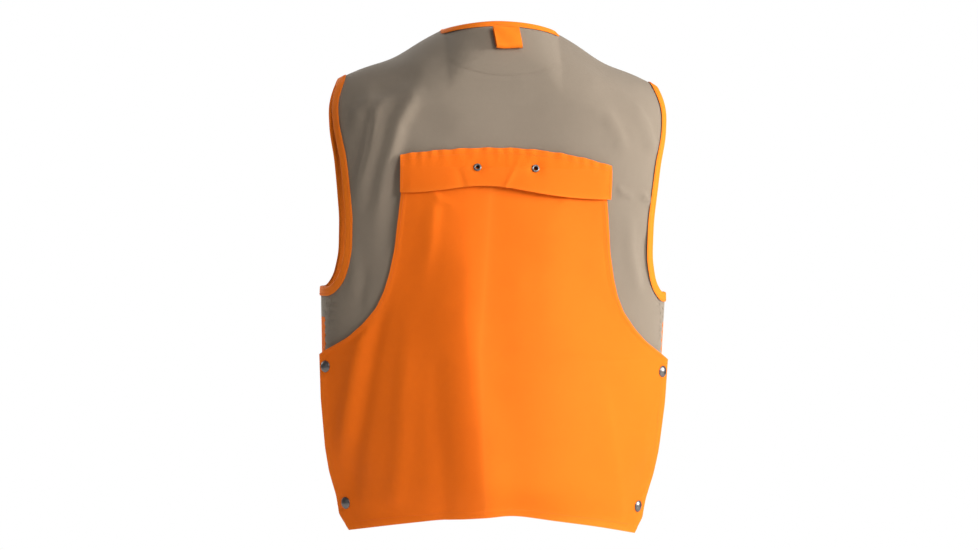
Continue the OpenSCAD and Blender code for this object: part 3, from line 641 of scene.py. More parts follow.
backPanel = sheetPiece("backPanel", [backGrid()], 1.1, "khaki")
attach(backPanel, "vest")
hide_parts("back_panel")
declare(backPanel, (0.52, 0.66), area=0.29)

facingS = np.linspace(-1, 1, 70)
fx = 72 * np.sin(facingS * math.pi / 2)
fz = -62 * np.sqrt(1 - (fx / 104) ** 2)
path, n = surface(backAt, lambda x, z: backLift(x, z) + 0.12, fx, fz)
sewn = [(path, n)]
for side in (-1, 1):
    z = np.linspace(-352, -410, 40)
    sewn.append(surface(backAt, lambda a, b: backLift(a, b) + 0.12, side * (backHalf(z) - 5.5), z))
facingStitch = sewLine("backStitch", sewn, "khakiThread")
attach(facingStitch, "vest")


# Game bag

print("game bag")


def bagColumns(z, low, high, count):
    half = bagHalf(z)[None]
    s = np.linspace(0, 1, count)[:, None]
    return mix(low[None] * half, high[None] * half, s)


bagRows = np.concatenate([np.linspace(form["bagHem"], form["corner"], 78), np.linspace(form["corner"] + 1.2, -392, 30),
                          np.linspace(-388, form["mouth"], 62)])
splitX = np.interp(bagRows, [-660, -540, -426, -300, -190], [-18, -25, -31, -24, -18])
splitShare = splitX / bagHalf(bagRows)


def bagGrid(low, high, count):
    x = bagColumns(bagRows, low, high, count)
    z = bagDrop(x, np.broadcast_to(bagRows[None], x.shape))
    row = np.broadcast_to(bagRows[None], x.shape)
    face = bagAt(x, z)
    hem = 0.55 * ease((9 - (z - bagDrop(x, form["bagHem"]))) / 1.5)
    side = 0.45 * ease((8 - (bagHalf(row) - np.abs(x))) / 1.5)
    return face, bagLift(x, z) + hem + side


def makeBag():
    ones = np.ones_like(bagRows)
    faceL, liftL = bagGrid(-ones, splitShare, 90)
    faceR, liftR = bagGrid(splitShare, ones, 106)
    whole = np.concatenate([faceL, faceR[1:]])
    lift = np.concatenate([liftL, liftR[1:]])
    grid = whole + normalsOf(whole) * lift[..., None]
    normals = normalsOf(grid)
    for name, part, ns, side in (("bagClothLeft", grid[:90], normals[:90], -1),
                                 ("bagClothRight", grid[89:], normals[89:], 1)):
        piece = sheetPiece(name, [part], 1.2, "blaze")
        count = part.shape[0] * part.shape[1]
        known = np.concatenate([ns.reshape(-1, 3)] * 2)
        mesh = piece.data
        custom = []
        seamColumn = 89 if side < 0 else 0
        for polygon in mesh.polygons:
            for v in polygon.vertices:
                custom.append(mesh.corner_normals[len(custom)].vector[:])
                on = v % count
                if on // part.shape[1] == seamColumn and abs(np.dot(known[on], polygon.normal)) > 0.5:
                    custom[-1] = tuple(known[on] if v < count else -known[on])
        mesh.normals_split_custom_set(custom)
        bendEdge(piece, side)
        declare(piece, (0.26, 0.50), area=0.0895 if side < 0 else 0.111)
    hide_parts("bag_panel", "left_bag_edge")
    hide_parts("right_bag_edge")


makeBag()


def alongBag(x, z, extra=0.0):
    return surface(bagAt, lambda a, b: bagLift(a, b) + extra, x, z)


def bagSeams():
    for side, word in ((-1, "Left"), (1, "Right")):
        z = np.linspace(-214, form["corner"] + 3, 140)
        curve = alongBag(side * (bagCurve(z) - 4.0), z, 0.6)
        down = np.linspace(form["corner"] - 4, -618, 90)
        sideRun = alongBag(side * (bagSide(down) - 7.5), bagDrop(bagSide(down), down), 0.15)
        x = np.linspace(side * 6, side * 184, 120)
        hem = alongBag(x, bagDrop(x, form["bagHem"] + 9.5), 0.15)
        piece = sewLine("bagSeam" + word, [curve, sideRun, hem])
        bendEdge(piece, side)


bagSeams()


# Bag flap

print("bag flap")
flap = {"half": 142.0, "top": -160.0, "clear": 4.4}


def flapTop(x): return flap["top"] + 2.5 - 12 * (x / flap["half"]) ** 2 - 9 * unit(x / flap["half"]) ** 2


def flapLow(x):
    off = x + 28
    return -208 - np.where(off < 0, 11 * (1 - np.exp(-(off / 60) ** 2)), 15 * (1 - np.exp(-(off / 80) ** 2)))


def flapAt(x, z):
    rise = unit((z - form["mouth"]) / (flap["top"] - form["mouth"]))
    gap = mix(bagStand(x, np.minimum(z, form["mouth"])) + flap["clear"], 2.4, rise)
    return backAt(x, z) - point(0, gap, 0)


def flapLift(x, z):
    top = flapTop(x)
    down = unit((top - z) / (top - flapLow(x)))
    gather = 0.55 * np.sin(x / 2.6 + 1.4 * np.sin(x / 17)) * np.exp(-(top - z) / 9)
    wave = (1.5 * np.sin((x + 30) / 44) + 0.6 * np.sin((x - 12) / 21)) * down ** 1.5
    crease = 1.1 * np.exp(-((x - 8 - (z + 190) * 0.5) / 4) ** 2) * down
    crease = crease - 0.9 * np.exp(-((x + 62 + (z + 190) * 0.3) / 6) ** 2) * down
    plump = 1.3 * np.sin(math.pi * unit(down)) ** 0.8 + 1.6 * down ** 2
    ends = 1.8 * ease((np.abs(x) - 122) / 20) * down
    return (gather + wave + crease + plump - ends) * awayFrom(x, z, [(38.0, -184.0)], 9)


def flapGrid():
    x = 2 + np.linspace(-1, 1, 190)[:, None] * (flap["half"] - 2.5)
    v = np.linspace(0, 1, 40)[None]
    z = mix(flapLow(x), flapTop(x) + 0.4 * np.sin(x / 5.2), v)
    x = np.broadcast_to(x, z.shape)
    face = flapAt(x, z)
    return face + normalsOf(face) * flapLift(x, z)[..., None]


bagFlap = sheetPiece("bagFlap", [flapGrid()], 1.9, "blaze", wornEdges=4)
applyModifier(bagFlap, "BEVEL", width=0.0005, segments=2, limit_method="ANGLE", angle_limit=math.radians(50))
smoothShade(bagFlap, 60)
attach(bagFlap, "mouth_flap")
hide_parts("bag_flap")
declare(bagFlap, (0.285, 0.055))


def alongFlap(x, z): return surface(flapAt, lambda a, b: flapLift(a, b) + 0.1, x, z)


fx = np.linspace(-134, 138, 160)
topLine = flapTop(fx)
endZ = [np.linspace(-214, -172, 24), np.linspace(-219, -181, 24)]
flapStitch = sewLine("flapStitch", [alongFlap(fx, topLine - 2.2), alongFlap(fx, topLine - 8.2),
                                    alongFlap(np.full(24, -134.0), endZ[0]), alongFlap(np.full(24, 138.5), endZ[1])])
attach(flapStitch, "mouth_flap")


# Binding tapes round the neck and the armholes

print("bindings")
binding = {"width": 11.0, "over": 1.5, "under": 2.6, "thick": 0.7}
neckTape = dict(binding, width=7.6)


def tapeCut(s, edge, closed=False):  # both faces and the fold, as long as the edge the tape is sewn to
    run = np.concatenate([edge, edge[:1]]) if closed else edge
    length = np.linalg.norm(np.diff(run, axis=0), axis=1).sum()
    return round((s["width"] * 2 + s["over"] + s["under"]) * mm, 4), round(float(length) * mm, 3)


def settle(a, times=3, closed=False):
    for _ in range(times):
        ring = np.concatenate([a[-2:], a, a[:2]]) if closed else np.concatenate([a[:1], a[:1], a, a[-1:], a[-1:]])
        a = (ring[:-4] + ring[1:-3] * 2 + ring[2:-2] * 2 + ring[3:-1] * 2 + ring[4:]) / 8
    return a


def spread(path, normal, step=3.0, closed=False):
    if closed:
        path, normal = np.concatenate([path, path[:1]]), np.concatenate([normal, normal[:1]])
    run = np.concatenate([[0], np.cumsum(np.linalg.norm(np.diff(path, axis=0), axis=1))])
    places = np.linspace(0, run[-1], int(run[-1] / step) + 1)
    if closed:
        places = places[:-1]
    return (np.stack([np.interp(places, run, path[:, k]) for k in range(3)], -1),
            np.stack([np.interp(places, run, normal[:, k]) for k in range(3)], -1))


def neckEdge():
    x = np.sin(np.linspace(-1, 1, 80) * math.pi / 2) * form["neckHalf"]
    z = form["backNeckRise"] * (1 - (x / form["neckHalf"]) ** 2)
    p, n = surface(backAt, lambda a, b: a * 0, x, z - 1.5)
    return spread(p, n)


p, n = neckEdge()
neckBinding, line, lineNormal = bandPiece("neckBinding", p, settle(n), -1, neckTape)
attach(neckBinding, "vest")
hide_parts("neck_binding")
declare(neckBinding, tapeCut(neckTape, p))
piece = sewLine("neckStitch", [(line, lineNormal)])
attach(piece, "vest")


def armholeEdge(side):
    z = np.linspace(-344, -69, 90)
    x = armhole(z)
    back, nBack = surface(backAt, backLift, x, z)
    front, nFront = surface(frontAt, lambda a, b: a * 0, x, z, 1.0)
    low = np.full(30, form["armholeLow"])
    angle = np.linspace(-np.arccos((221 / 231.0) ** (backPower(low[:1]) / 2))[0], frontAngle(low[:1], 221.0)[0], 30)
    under = sideAt(angle, low)
    nUnder = np.stack([np.cos(angle), np.sin(angle) * 1.4, np.zeros(30)], -1)
    path = np.concatenate([back, front[::-1], under[::-1][1:-1]])
    normal = np.concatenate([nBack, nFront[::-1], nUnder[::-1][1:-1]])
    path, normal = spread(path, normal, closed=True)
    path, normal = settle(path, 2, True), settle(normal, 6, True)
    flip = np.array([side, 1, 1])
    return path * flip, normal * flip


for side, word in ((-1, "left"), (1, "right")):
    p, n = armholeEdge(side)
    piece, line, lineNormal = bandPiece(word + "ArmholeBinding", p, n, side, binding, closed=True)
    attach(piece, "vest")
    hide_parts(word + "_armhole_binding")
    declare(piece, tapeCut(binding, p, True))
    ring = (np.concatenate([line, line[:1]]), np.concatenate([lineNormal, lineNormal[:1]]))
    piece = sewLine(word + "ArmholeStitch", [ring])
    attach(piece, "vest")


# Inside the bag: its liner and the strip that closes it below

print("bag inside")


def bagHinge(z): return mix(bagHalf(np.float64(-620)) - 45, bagHalf(np.float64(-404)), (z + 642) / 238)


def linerGrid():
    z = np.linspace(-634, -190, 80)[None]
    half = np.minimum(0.96 * bagHalf(z), bagHinge(z) - 3)
    x = np.sin(np.linspace(-1, 1, 70)[:, None] * math.pi / 2) * half
    z = bagDrop(x, z)
    face = backAt(x, z)
    return face + normalsOf(face) * (1.2 + backLift(x, z) * (z > -430))[..., None]


bagLiner = sheetPiece("bagLiner", [linerGrid()], 0.8, "blaze")
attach(bagLiner, "vest")
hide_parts("bag_liner")
declare(bagLiner, (0.40, 0.46), area=0.145)


def bottomGrid():
    x = np.linspace(-155, 155, 70)[:, None]
    v = np.linspace(0, 1, 14)[None]
    z = bagDrop(x, form["bagHem"]) + 6
    inner, outer = backAt(x, z)[..., 1] - 1.6, bagAt(x, z)[..., 1] + 1.9
    y = mix(outer, inner, v)
    sag = 2.5 * np.sin(math.pi * v) + 0.8 * np.sin(x / 9) * np.sin(math.pi * v)
    return point(np.broadcast_to(x, y.shape), y, z - 1.0 + sag)


bagBottom = sheetPiece("bagBottom", [bottomGrid()[::-1]], 0.9, "blaze")
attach(bagBottom, "vest")
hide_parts("bag_bottom")
declare(bagBottom, (0.315, 0.02), area=0.0053)


# Neck facing and label

facingX = 66 * np.sin(np.linspace(-1, 1, 60)[:, None] * math.pi / 2)
facingZ = mix(-57 * np.sqrt(1 - (facingX / 80) ** 2), 10 * (1 - (facingX / 75) ** 2) - 1, np.linspace(0, 1, 40)[None])
facingX = np.broadcast_to(facingX, facingZ.shape)
face = backAt(facingX, facingZ)
neckFacing = sheetPiece("neckFacing", [face - normalsOf(face) * 1.5], 0.9, "khaki")
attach(neckFacing, "vest")
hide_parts("neck_facing")
declare(neckFacing, (0.14, 0.085), area=0.0093)
labelX, labelZ = np.meshgrid(np.linspace(-24, 24, 24), np.linspace(-38, -10, 14), indexing="ij")
face = backAt(labelX, labelZ)
labelGrid = face - normalsOf(face) * (2.75 + 0.15 * np.sin(labelX / 4))[..., None]
neckLabel = sheetPiece("neckLabel", [labelGrid], 0.35, "label", wornEdges=1.5)
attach(neckLabel, "vest")
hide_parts("neck_label")
declare(neckLabel, (0.048, 0.031))


# Hang loop: a strap folded on itself

print("hang loop")
loop = {"width": 34.0, "length": 33.0, "depth": 9.0, "strap": 1.5, "slope": 31.0, "lean": 0.12,
        "at": (2.0, -77.5, -1.5)}


def makeLoop(s):
    r, run = s["depth"] / 2, s["length"] - s["depth"]
    top = [(-r * math.cos(a), r * math.sin(a)) for a in np.linspace(0, math.pi, 14)]
    low = [(r * math.cos(a), -run - r * math.sin(a)) for a in np.linspace(0, math.pi, 14)]
    down = [(r, -run * t) for t in np.linspace(0, 1, 14)[1:-1]]
    up = [(-r, -run * t) for t in np.linspace(1, 0, 14)[1:-1]]
    ring = np.array(top + down + low + up + top[:1])
    x = np.linspace(-0.5, 0.5, 24)[:, None] * s["width"]
    out, along = ring[None, :, 0], ring[None, :, 1]
    sag = 1.2 * np.sin(math.pi * unit(-along / run)) * (out < 0)
    wave = 0.35 * np.sin(x / 5 + along / 6) + 0.6 * (np.abs(x) / 18) ** 2 * (out < 0)
    out = out - sag * 0.6 + wave
    along = along + 0.5 * np.sin(x / 7) * (along < -run)
    a = math.radians(s["slope"])
    y = s["at"][1] + out * math.cos(a) + along * math.sin(a)
    z = s["at"][2] - out * math.sin(a) + along * math.cos(a)
    grid = point(x + s["at"][0] - s["lean"] * along, y, z)
    return sheetPiece("hangLoop", [grid, grid[:1, :1]], s["strap"], "tape", wornEdges=2.5)


hangLoop = makeLoop(loop)
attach(hangLoop, "loop")
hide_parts("hang_loop")
declare(hangLoop, (0.034, 0.076))


# Eyelets and snaps

print("metal")


def placed(piece, at, out, up=(0, 0, 1)):
    z = Vector(out).normalized()
    x = Vector(up).cross(z).normalized()
    y = z.cross(x)
    turn = Matrix((x, y, z)).transposed().to_4x4()
    piece.data.transform(Matrix.Translation(Vector(at) * mm) @ turn)
    piece.data.update()


def joinPieces(name, parts):
    deselectAll()
    for o in parts:
        o.select_set(True)
    bpy.context.view_layer.objects.active = parts[0]
    bpy.ops.object.join()
    parts[0].name = name
    return parts[0]


def copyPiece(piece):
    twin = piece.copy()
    twin.data = piece.data.copy()
    bpy.context.scene.collection.objects.link(twin)
    return twin


def applyPlace(piece):
    makeActive(piece)
    bpy.ops.object.transform_apply(location=True, rotation=True, scale=True)


snap = {"radius": 7.5, "dome": 2.5, "rim": 0.9, "lift": 0.4}


def modelCap(s):
    r, ball = s["radius"] * mm, (s["radius"] ** 2 + s["dome"] ** 2) / (2 * s["dome"]) * mm
    base = (s["lift"] + s["rim"]) * mm
    deselectAll()
    bpy.ops.mesh.primitive_uv_sphere_add(segments=48, ring_count=60, radius=ball,
                                         location=(0, 0, base + s["dome"] * mm - ball))
    cap = bpy.context.object
    applyPlace(cap)
    bpy.ops.object.mode_set(mode="EDIT")
    bpy.ops.mesh.select_all(action="SELECT")
    bpy.ops.mesh.bisect(plane_co=(0, 0, base), plane_no=(0, 0, 1), clear_inner=True, use_fill=False)
    bpy.ops.mesh.select_all(action="DESELECT")
    bpy.ops.mesh.select_non_manifold()
    for step, scale in ((-0.25, 1.035), (-0.35, 1.0), (-0.3, 0.93), (-0.02, 0.45)):
        bpy.ops.mesh.extrude_region_move(TRANSFORM_OT_translate={"value": (0, 0, step * mm)})
        bpy.ops.transform.resize(value=(scale, scale, 1))
    bpy.ops.mesh.edge_face_add()
    bpy.ops.mesh.select_all(action="SELECT")
    bpy.ops.mesh.normals_make_consistent(inside=False)
    bpy.ops.object.mode_set(mode="OBJECT")
    smoothShade(cap, 50)
    deselectAll()
    bpy.ops.mesh.primitive_torus_add(major_segments=48, minor_segments=10, major_radius=r * 0.985,
                                     minor_radius=0.42 * mm, location=(0, 0, s["lift"] * mm + 0.4 * mm))
    lip = bpy.context.object
    applyPlace(lip)
    smoothShade(lip, 80)
    cap = joinPieces("snapCap", [cap, lip])
    cap.data.materials.clear()
    cap.data.materials.append(mats["gunmetal"])
    return cap


snapCap = modelCap(snap)


def plainPoint(face, x, z, sign):
    return surface(face, lambda a, b: a * 0, x, z, sign)


for side, word in ((-1, "left"), (1, "right")):
    parts = []
    for x, z in snapPlaces:
        p, n = plainPoint(bagAt, np.float64(side * x), np.float64(z), -1.0)
        cap = copyPiece(snapCap)
        placed(cap, p, n)
        parts.append(cap)
    caps = joinPieces(word + "SnapCaps", parts)
    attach(caps, word + "_side_edge")
    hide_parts(word + "_bag_caps")

eyelet = {"x": 38.0, "z": -184.0, "flange": 5.2, "hole": 2.5, "barrel": 3.4}


def eyeletPlace(side):
    h = 0.5
    x = np.float64(side * eyelet["x"])
    p = flapAt(x, np.float64(eyelet["z"]))
    n = np.cross(flapAt(x + h, eyelet["z"]) - flapAt(x - h, eyelet["z"]),
                 flapAt(x, eyelet["z"] + h) - flapAt(x, eyelet["z"] - h))
    return p, n / np.linalg.norm(n)


def modelEyelet(s):
    mid, tube = (s["flange"] + s["hole"]) / 2, (s["flange"] - s["hole"]) / 2
    deselectAll()
    bpy.ops.mesh.primitive_torus_add(major_segments=44, minor_segments=14,
                                     major_radius=mid * mm, minor_radius=tube * mm)
    ring = bpy.context.object
    bpy.ops.transform.resize(value=(1, 1, 0.62))
    ring.location.z = 0.75 * mm
    applyPlace(ring)
    smoothShade(ring, 80)
    deselectAll()
    bpy.ops.mesh.primitive_cylinder_add(vertices=40, radius=(s["hole"] + 0.35) * mm, depth=s["barrel"] * mm,
                                        end_fill_type="NOTHING", location=(0, 0, -1.0 * mm))
    barrel = bpy.context.object
    applyPlace(barrel)
    applyModifier(barrel, "SOLIDIFY", thickness=0.35 * mm, offset=-1.0)
    smoothShade(barrel, 50)
    whole = joinPieces("eyelet", [ring, barrel])
    whole.data.materials.clear()
    whole.data.materials.append(mats["gunmetal"])
    return whole


eyeletPiece = modelEyelet(eyelet)
parts = []
for side in (-1, 1):
    p, n = eyeletPlace(side)
    deselectAll()
    bpy.ops.mesh.primitive_cylinder_add(vertices=32, radius=3.0 * mm, depth=14 * mm)
    cutter = bpy.context.object
    placed(cutter, p, n)
    applyModifier(bagFlap, "BOOLEAN", object=cutter, operation="DIFFERENCE", solver="EXACT")
    bpy.data.objects.remove(cutter)
    twin = copyPiece(eyeletPiece)
    placed(twin, p, n)
    parts.append(twin)
eyelets = joinPieces("eyelets", parts)
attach(eyelets, "mouth_flap")
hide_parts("eyelets")
bpy.data.objects.remove(eyeletPiece)


# Fronts

print("fronts")
frontFolds = [
    drawnFold(4.5, (14, 20), (0.3, 0.4), (150, -60), (140, -130), (120, -220), (112, -300)),
    drawnFold(-3.0, (10, 14), (0.3, 0.4), (178, -80), (176, -150), (158, -240)),
    drawnFold(3.0, (9, 14), (0.25, 0.4), (205, -320), (176, -345), (130, -372)),
    drawnFold(2.4, (12, 15), (0.35, 0.4), (88, -40), (84, -120), (70, -200)),
    drawnFold(-2.2, (14, 14), (0.35, 0.3), (60, -190), (52, -280), (50, -380)),
    drawnFold(3.2, (10, 12), (0.3, 0.2), (190, -400), (182, -480), (176, -600)),
]


def necklineX(z):
    half = form["neckHalf"] * np.maximum(0, 1 + z / form["frontNeck"]) ** 0.625
    return np.where(z < -form["frontNeck"], 0.0, half)


def outerX(z):
    low = float(armhole(form["armholeLow"])) * sectionHalf(z) / sectionHalf(form["armholeLow"])
    top = form["neckHalf"] - z / shoulderFall
    return np.where(z < form["armholeLow"], low, np.where(z < -form["shoulderDrop"], armhole(z), top))


def frontLift(side):
    def lift(x, z):
        a = np.abs(x)
        total = sum(foldHeight(a + side * 3, z + side * 4, f) for f in frontFolds)
        total = total + ripple(x, z, 21, 80, 0.6) + ripple(x, z, 22, 36, 0.18)
        fade = ease((a - 14) / 16) * ease((outerX(z) + 6 - a) / 18)
        fade = fade * ease((ridge(a) - z) / 24) * ease((a - necklineX(z)) / 16)
        pocket = ease((a - 162) / 14) + ease((30 - a) / 14) + ease((z + 384) / 14) + ease((-616 - z) / 12)
        waist = 0.35 + 0.65 * ease(np.abs(z - form["waist"]) / 16)
        return total * fade * unit(pocket) * waist
    return lift


def frontGrid(side, zRows, xEnd, columns, wrap):
    t = np.sin(np.linspace(0, 1, columns) * math.pi / 2)[:, None]
    z = zRows[None]
    start = np.maximum(form["panelEdge"], necklineX(z))
    x = mix(start, xEnd(z), t)
    zz = hemAt(x, np.broadcast_to(z, x.shape), 8)
    face = frontAt(x, zz)
    raised = frontLift(side)(x * side, zz)
    if wrap:
        high = frontAngle(z, xEnd(z))
        angle = mix(high, backAngle(z), np.linspace(0, 1, wrap)[1:, None])
        round_ = sideAt(angle, np.broadcast_to(z, angle.shape))
        round_[..., 2] = hemAt(round_[..., 0], round_[..., 2], 8)
        face = np.concatenate([face, round_])
        raised = np.concatenate([raised, np.zeros(angle.shape)])
    flip = np.array([side, 1, 1])
    face = face * flip
    if side > 0:
        face, raised = face[::-1], raised[::-1]
    return face + normalsOf(face) * raised[..., None]


def makeFront(side, word):
    upper = np.concatenate([np.linspace(form["armholeLow"], -92, 80), np.linspace(-89, -3, 34)])
    band = np.linspace(form["waist"] + 0.2, form["armholeLow"], 14)
    grids = [frontGrid(side, upper, outerX, 76, 0), frontGrid(side, band, outerX, 76, 26)]
    khakiFront = sheetPiece(word + "FrontKhaki", grids, 1.1, "khaki")
    bendFront(khakiFront)
    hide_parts(word + "_yoke", word + "_fold_upper", word + "_front_upper")
    declare(khakiFront, (0.30, 0.42), area=0.085)
    lower = np.linspace(form["hem"], form["waist"] - 0.2, 90)
    grid = frontGrid(side, lower, lambda z: 0.93 * sectionHalf(z), 84, 30)
    orangeFront = sheetPiece(word + "FrontOrange", [grid], 1.1, "blaze")
    bendFront(orangeFront)
    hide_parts(word + "_side_panel", word + "_fold_lower", word + "_front_lower")
    declare(orangeFront, (0.31, 0.26), area=0.075)
    lines = []
    lift = frontLift(side)

    def along(x, z, extra=0.15):
        return surface(frontAt, lambda a, b: lift(a, b) + extra, x, z, 1.0)
    z = np.linspace(-628, -128, 240)
    lines.append(along(np.full(240, side * 12.0), z))
    x = np.linspace(14, 0.9 * 228, 110) * side
    lines.append(along(x, hemAt(x, np.full(110, form["hem"] + 9.0), 8)))
    lines.append(along(x, np.full(110, -388.2)))
    stitches = sewLine(word + "FrontStitch", lines)
    bendFront(stitches)
    zTop = np.linspace(-6, -66, 50)
    shoulder = along(side * (75 - zTop / shoulderFall - 1.0), zTop - 5)
    waist = along(x, np.full(110, -381.8))
    stitches = sewLine(word + "YokeStitch", [shoulder, waist], "khakiThread")
    bendFront(stitches)
    x = np.linspace(12, form["neckHalf"], 120)
    z = -form["frontNeck"] * (1 - (x / form["neckHalf"]) ** 1.6)
    p, n = surface(frontAt, lift, x * side, z - 0.5, 1.0)
    p, n = spread(p, settle(n, 6))
    piece, line, lineNormal = bandPiece(word + "NeckBinding", p, n, side, neckTape)
    bendFront(piece)
    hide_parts(word + "_neck_binding")
    declare(piece, tapeCut(neckTape, p))
    stitches = sewLine(word + "NeckStitch", [(line, lineNormal)])
    bendFront(stitches)


for side, word in ((-1, "left"), (1, "right")):
    makeFront(side, word)


# Bellows pockets with their flaps

print("pockets")
pocket = {"in": 38.0, "out": 158.0, "top": -404.0, "bottom": -606.0, "depth": 16.2}
flapPath = np.array([(22.0, -444.0), (22.0, -430.0), (21.9, -412.0), (21.3, -403.0), (19.4, -397.8), (15.6, -394.9),
                     (10.0, -393.2), (5.0, -392.3), (2.1, -392.0)])


def frontNormal(x, z):
    return surface(frontAt, lambda a, b: a * 0, x, z, 1.0)[1]


def smoothPath(points, count):
    run = np.concatenate([[0], np.cumsum(np.hypot(*np.diff(points, axis=0).T))])
    at = np.linspace(0, run[-1], count)
    line = np.stack([np.interp(at, run, points[:, k]) for k in range(2)], -1)
    return settle(line, 3)


def makePocket(side, word):
    flip = np.array([side, 1, 1])
    wall = [(0.4, 0), (4, -0.8), (8, -2.4), (12, -1.0), (14.6, 0.6), (15.9, 2.6), (16.2, 6.0)]
    inRun = np.array([(pocket["in"] + abs(d), o) for o, d in wall])
    outRun = np.array([(pocket["out"] - abs(d), o) for o, d in wall])[::-1]
    middle = np.array([(x, 16.2) for x in np.linspace(pocket["in"] + 10, pocket["out"] - 10, 14)])
    acrossRun = smoothPath(np.concatenate([inRun, middle, outRun]), 90)
    lowRun = np.array([(pocket["bottom"] + abs(d), o) for o, d in wall])
    downRun = smoothPath(np.concatenate([lowRun, [(z, 16.2) for z in np.linspace(-596, pocket["top"], 24)]]), 90)
    x = np.broadcast_to(acrossRun[:, 0][:, None], (90, 90))
    z = np.broadcast_to(downRun[:, 0][None], (90, 90))
    out = acrossRun[:, 1][:, None] * downRun[:, 1][None] / 16.2
    sag = 1.6 * np.exp(-((x - 98) / 40) ** 2) * ease((z + 600) / 60) * ease((-404 - z) / 30 + 0.55)
    folds = 0.8 * np.sin((x + 0.4 * z) / 19) * np.exp(-((z + 560) / 60) ** 2)
    out = np.minimum(out + (sag * 0.5 + folds * 0.7) * ease((out - 12) / 4), 17.4)
    grid = frontAt(x, z) + frontNormal(x, z) * out[..., None]
    grid = grid * flip
    if side > 0:
        grid = grid[::-1]
    bag = sheetPiece(word + "Pocket", [grid], 1.0, "blaze")
    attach(bag, word + "_front")
    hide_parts(word + "_pocket_face", word + "_pocket_gusset")
    declare(bag, (0.155, 0.22), area=0.033)

    def onFace(px, pz, out_):
        p = frontAt(px, pz) + frontNormal(px, pz) * (out_ + 0.35)
        return p * flip, frontNormal(px, pz) * flip
    lines = [onFace(np.linspace(46, 150, 60), np.full(60, -414.0), 16.6),
             onFace(np.linspace(46, 150, 60), np.full(60, -598.0), 16.0),
             onFace(np.full(90, 44.0), np.linspace(-598, -408, 90), 16.0),
             onFace(np.full(90, 152.0), np.linspace(-598, -408, 90), 16.0)]
    stitches = sewLine(word + "PocketStitch", lines)
    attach(stitches, word + "_front")

    path = smoothPath(flapPath, 44)
    x = np.broadcast_to(np.linspace(34, 161, 80)[:, None], (80, 44))
    z = np.broadcast_to(path[:, 1][None], (80, 44))
    out = np.broadcast_to(path[:, 0][None], (80, 44))
    low = ease((-400 - z) / 40)
    corner = 5.0 * ease((np.abs(x - 97.5) - 52) / 11.5) ** 2 * low
    near = np.exp(-(((x - 97.5) / 16) ** 2 + ((z + 431) / 12) ** 2))
    swell = 0.8 * np.sin(math.pi * unit((z + 444) / 46)) * ease((out - 18) / 3)
    out = out + (0.9 * np.sin(x / 13) * low + swell) * (1 - near)
    grid = (frontAt(x, z) + frontNormal(x, z) * out[..., None] + point(0, 0, corner)) * flip
    if side > 0:
        grid = grid[::-1]
    lid = sheetPiece(word + "PocketFlap", [grid], 1.5, "blaze", wornEdges=4)
    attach(lid, word + "_pocket_lid")
    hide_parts(word + "_pocket_flap")
    declare(lid, (0.13, 0.073))

    def onLid(px, v):
        q = np.stack([np.interp(v, np.linspace(0, 1, 44), path[:, k]) for k in range(2)], -1)
        n = frontNormal(px, q[:, 1])
        return (frontAt(px, q[:, 1]) + n * (q[:, 0] + 0.6)[:, None]) * flip, n * flip
    lines = [onLid(np.linspace(40, 155, 70), np.full(70, 0.10)), onLid(np.full(30, 37.0), np.linspace(0.1, 0.6, 30)),
             onLid(np.full(30, 158.0), np.linspace(0.1, 0.6, 30))]
    stitches = sewLine(word + "LidStitch", lines)
    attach(stitches, word + "_pocket_lid")

    z0 = -444 + 46 * 0.2 / 0.75
    out0 = mix(22.0, 21.4, 0.2 / 0.75)
    centre = np.float64(97.5)
    n = frontNormal(centre, np.float64(z0))
    cap = copyPiece(snapCap)
    cap.name = word + "PocketCap"
    placed(cap, (frontAt(centre, z0) + n * (out0 + 0.3)) * flip, n * flip)
    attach(cap, word + "_pocket_lid")


for side, word in ((-1, "left"), (1, "right")):
    makePocket(side, word)


# Zip: tapes and teeth; the slider and pull stay as CAD nodes

print("zip")
zipper = {"y": 104.86, "top": -122.0, "tilt": math.atan2(16, 520), "length": 505.0, "pitch": 3.0}


def zipPoint(x, y, z):
    c, s = math.cos(zipper["tilt"]), math.sin(zipper["tilt"])
    return point(x, zipper["y"] + y * c - z * s, zipper["top"] + y * s + z * c)


def modelTooth():
    deselectAll()
    bpy.ops.mesh.primitive_cube_add(size=1)
    tooth = bpy.context.object
    tooth.scale = (3.0 * mm, 2.1 * mm, 1.3 * mm)
    tooth.location = (3.3 * mm, 0, 0)
    applyPlace(tooth)
    bpy.ops.object.mode_set(mode="EDIT")
    bpy.ops.mesh.select_all(action="DESELECT")
    bpy.ops.object.mode_set(mode="OBJECT")
    for polygon in tooth.data.polygons:
        polygon.select = polygon.normal.x < -0.9
    bpy.ops.object.mode_set(mode="EDIT")
    bpy.ops.mesh.extrude_region_move(TRANSFORM_OT_translate={"value": (-1.1 * mm, 0, 0)})
    bpy.ops.transform.resize(value=(1, 0.62, 1))
    bpy.ops.mesh.extrude_region_move(TRANSFORM_OT_translate={"value": (-1.3 * mm, 0, 0)})
    bpy.ops.transform.resize(value=(1, 1.15, 1))
    bpy.ops.object.mode_set(mode="OBJECT")
    applyModifier(tooth, "BEVEL", width=0.22 * mm, segments=1, limit_method="ANGLE")
    points = np.array([v.co for v in tooth.data.vertices]) / mm
    faces = [tuple(p.vertices) for p in tooth.data.polygons]
    bpy.data.objects.remove(tooth)
    return points, faces


toothPoints, toothFaces = modelTooth()


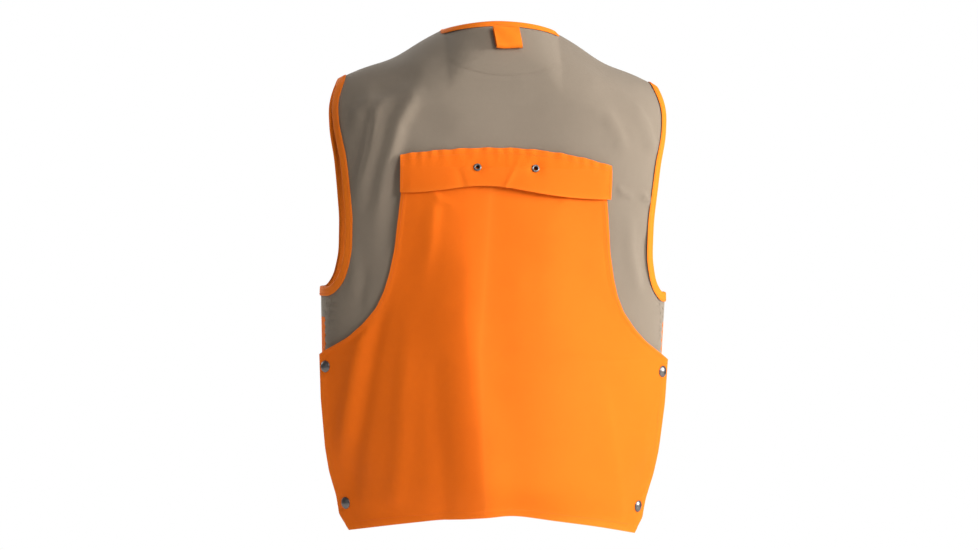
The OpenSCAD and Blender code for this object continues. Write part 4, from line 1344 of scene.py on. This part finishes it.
def makeZip(side, word):
    x = np.linspace(4.4, 18, 12)[:, None]
    z = np.linspace(-zipper["length"] - 4, -1, 220)[None]
    y = -1.9 - 0.5 * unit((x - 8) / 6) + 0.5 * np.exp(-((x - 5) / 0.7) ** 2)
    grid = zipPoint(*np.broadcast_arrays(x, y, z)) * np.array([side, 1, 1])
    if side > 0:
        grid = grid[::-1]
    tapePiece = sheetPiece(word + "ZipTape", [grid], 0.7, "tape", wornEdges=1.5)
    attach(tapePiece, word + "_front")
    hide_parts(word + "_zip_tape")
    declare(tapePiece, (0.0136, 0.508))
    places = np.arange(-zipper["length"] + 1.0, -14, zipper["pitch"]) + (zipper["pitch"] / 2 if side > 0 else 0)
    local = toothPoints * np.array([side, 1, 1])
    points = zipPoint(*np.broadcast_arrays(local[None, :, 0], local[None, :, 1], local[None, :, 2] + places[:, None]))
    faces = []
    for k in range(len(places)):
        faces += [tuple(i + k * len(local) for i in (f if side > 0 else f[::-1])) for f in toothFaces]
    mesh = bpy.data.meshes.new(word + "ZipTeeth")
    mesh.from_pydata((points.reshape(-1, 3) * mm).tolist(), [], faces)
    mesh.materials.append(mats["brass"])
    piece = bpy.data.objects.new(word + "ZipTeeth", mesh)
    bpy.context.scene.collection.objects.link(piece)
    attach(piece, word + "_front")
    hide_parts(word + "_zip_teeth")


for side, word in ((-1, "left"), (1, "right")):
    makeZip(side, word)
bpy.data.objects.remove(snapCap)


# CAD nodes that stay take their finishes

def paint(material, *nodes):
    for node in nodes:
        o = frame["nodes"][node]
        for k in range(len(o.material_slots)):
            o.material_slots[k].link = "OBJECT"
            o.material_slots[k].material = mats[material]


paint("gunmetal", "left_bag_sockets", "right_bag_sockets", "left_bag_studs", "right_bag_studs", "eyelet_washers",
      "left_pocket_stud", "right_pocket_stud", "left_pocket_snap", "right_pocket_snap", "zip_slider", "zip_pull")
paint("brass", "left_top_stop", "right_top_stop", "zip_retainer", "zip_pin")
paint("pad", "left_snap_pads", "right_snap_pads")


bpy.context.scene.view_settings.view_transform = "Standard"
addCamera(camera)
addLamps()


def addStudio(s):
    bpy.ops.mesh.primitive_plane_add(size=2 * s["floorHalf"], location=(0, 0, s["floorZ"]))
    floor = bpy.context.object
    floor.name = "paleFloor"
    material, tree, shader = newMaterial("palePaper", {"Base Color": (0.9, 0.9, 0.89, 1), "Roughness": 0.9})
    floor.data.materials.append(material)
    world = bpy.data.worlds.new("studioWorld")
    bpy.context.scene.world = world
    world.use_nodes = True
    tree = world.node_tree
    tree.nodes.clear()
    seen = addNode(tree, "ShaderNodeLightPath", {}, {})
    soft = addNode(tree, "ShaderNodeBackground", {}, {"Color": (1, 1, 1, 1), "Strength": s["ambient"]})
    white = addNode(tree, "ShaderNodeBackground", {}, {"Color": (1, 1, 1, 1), "Strength": s["backdrop"]})
    both = addNode(tree, "ShaderNodeMixShader", {}, {0: seen, 1: soft, 2: white})
    end = tree.nodes.new("ShaderNodeOutputWorld")
    tree.links.new(both.socket, end.inputs["Surface"])


addStudio(studio)
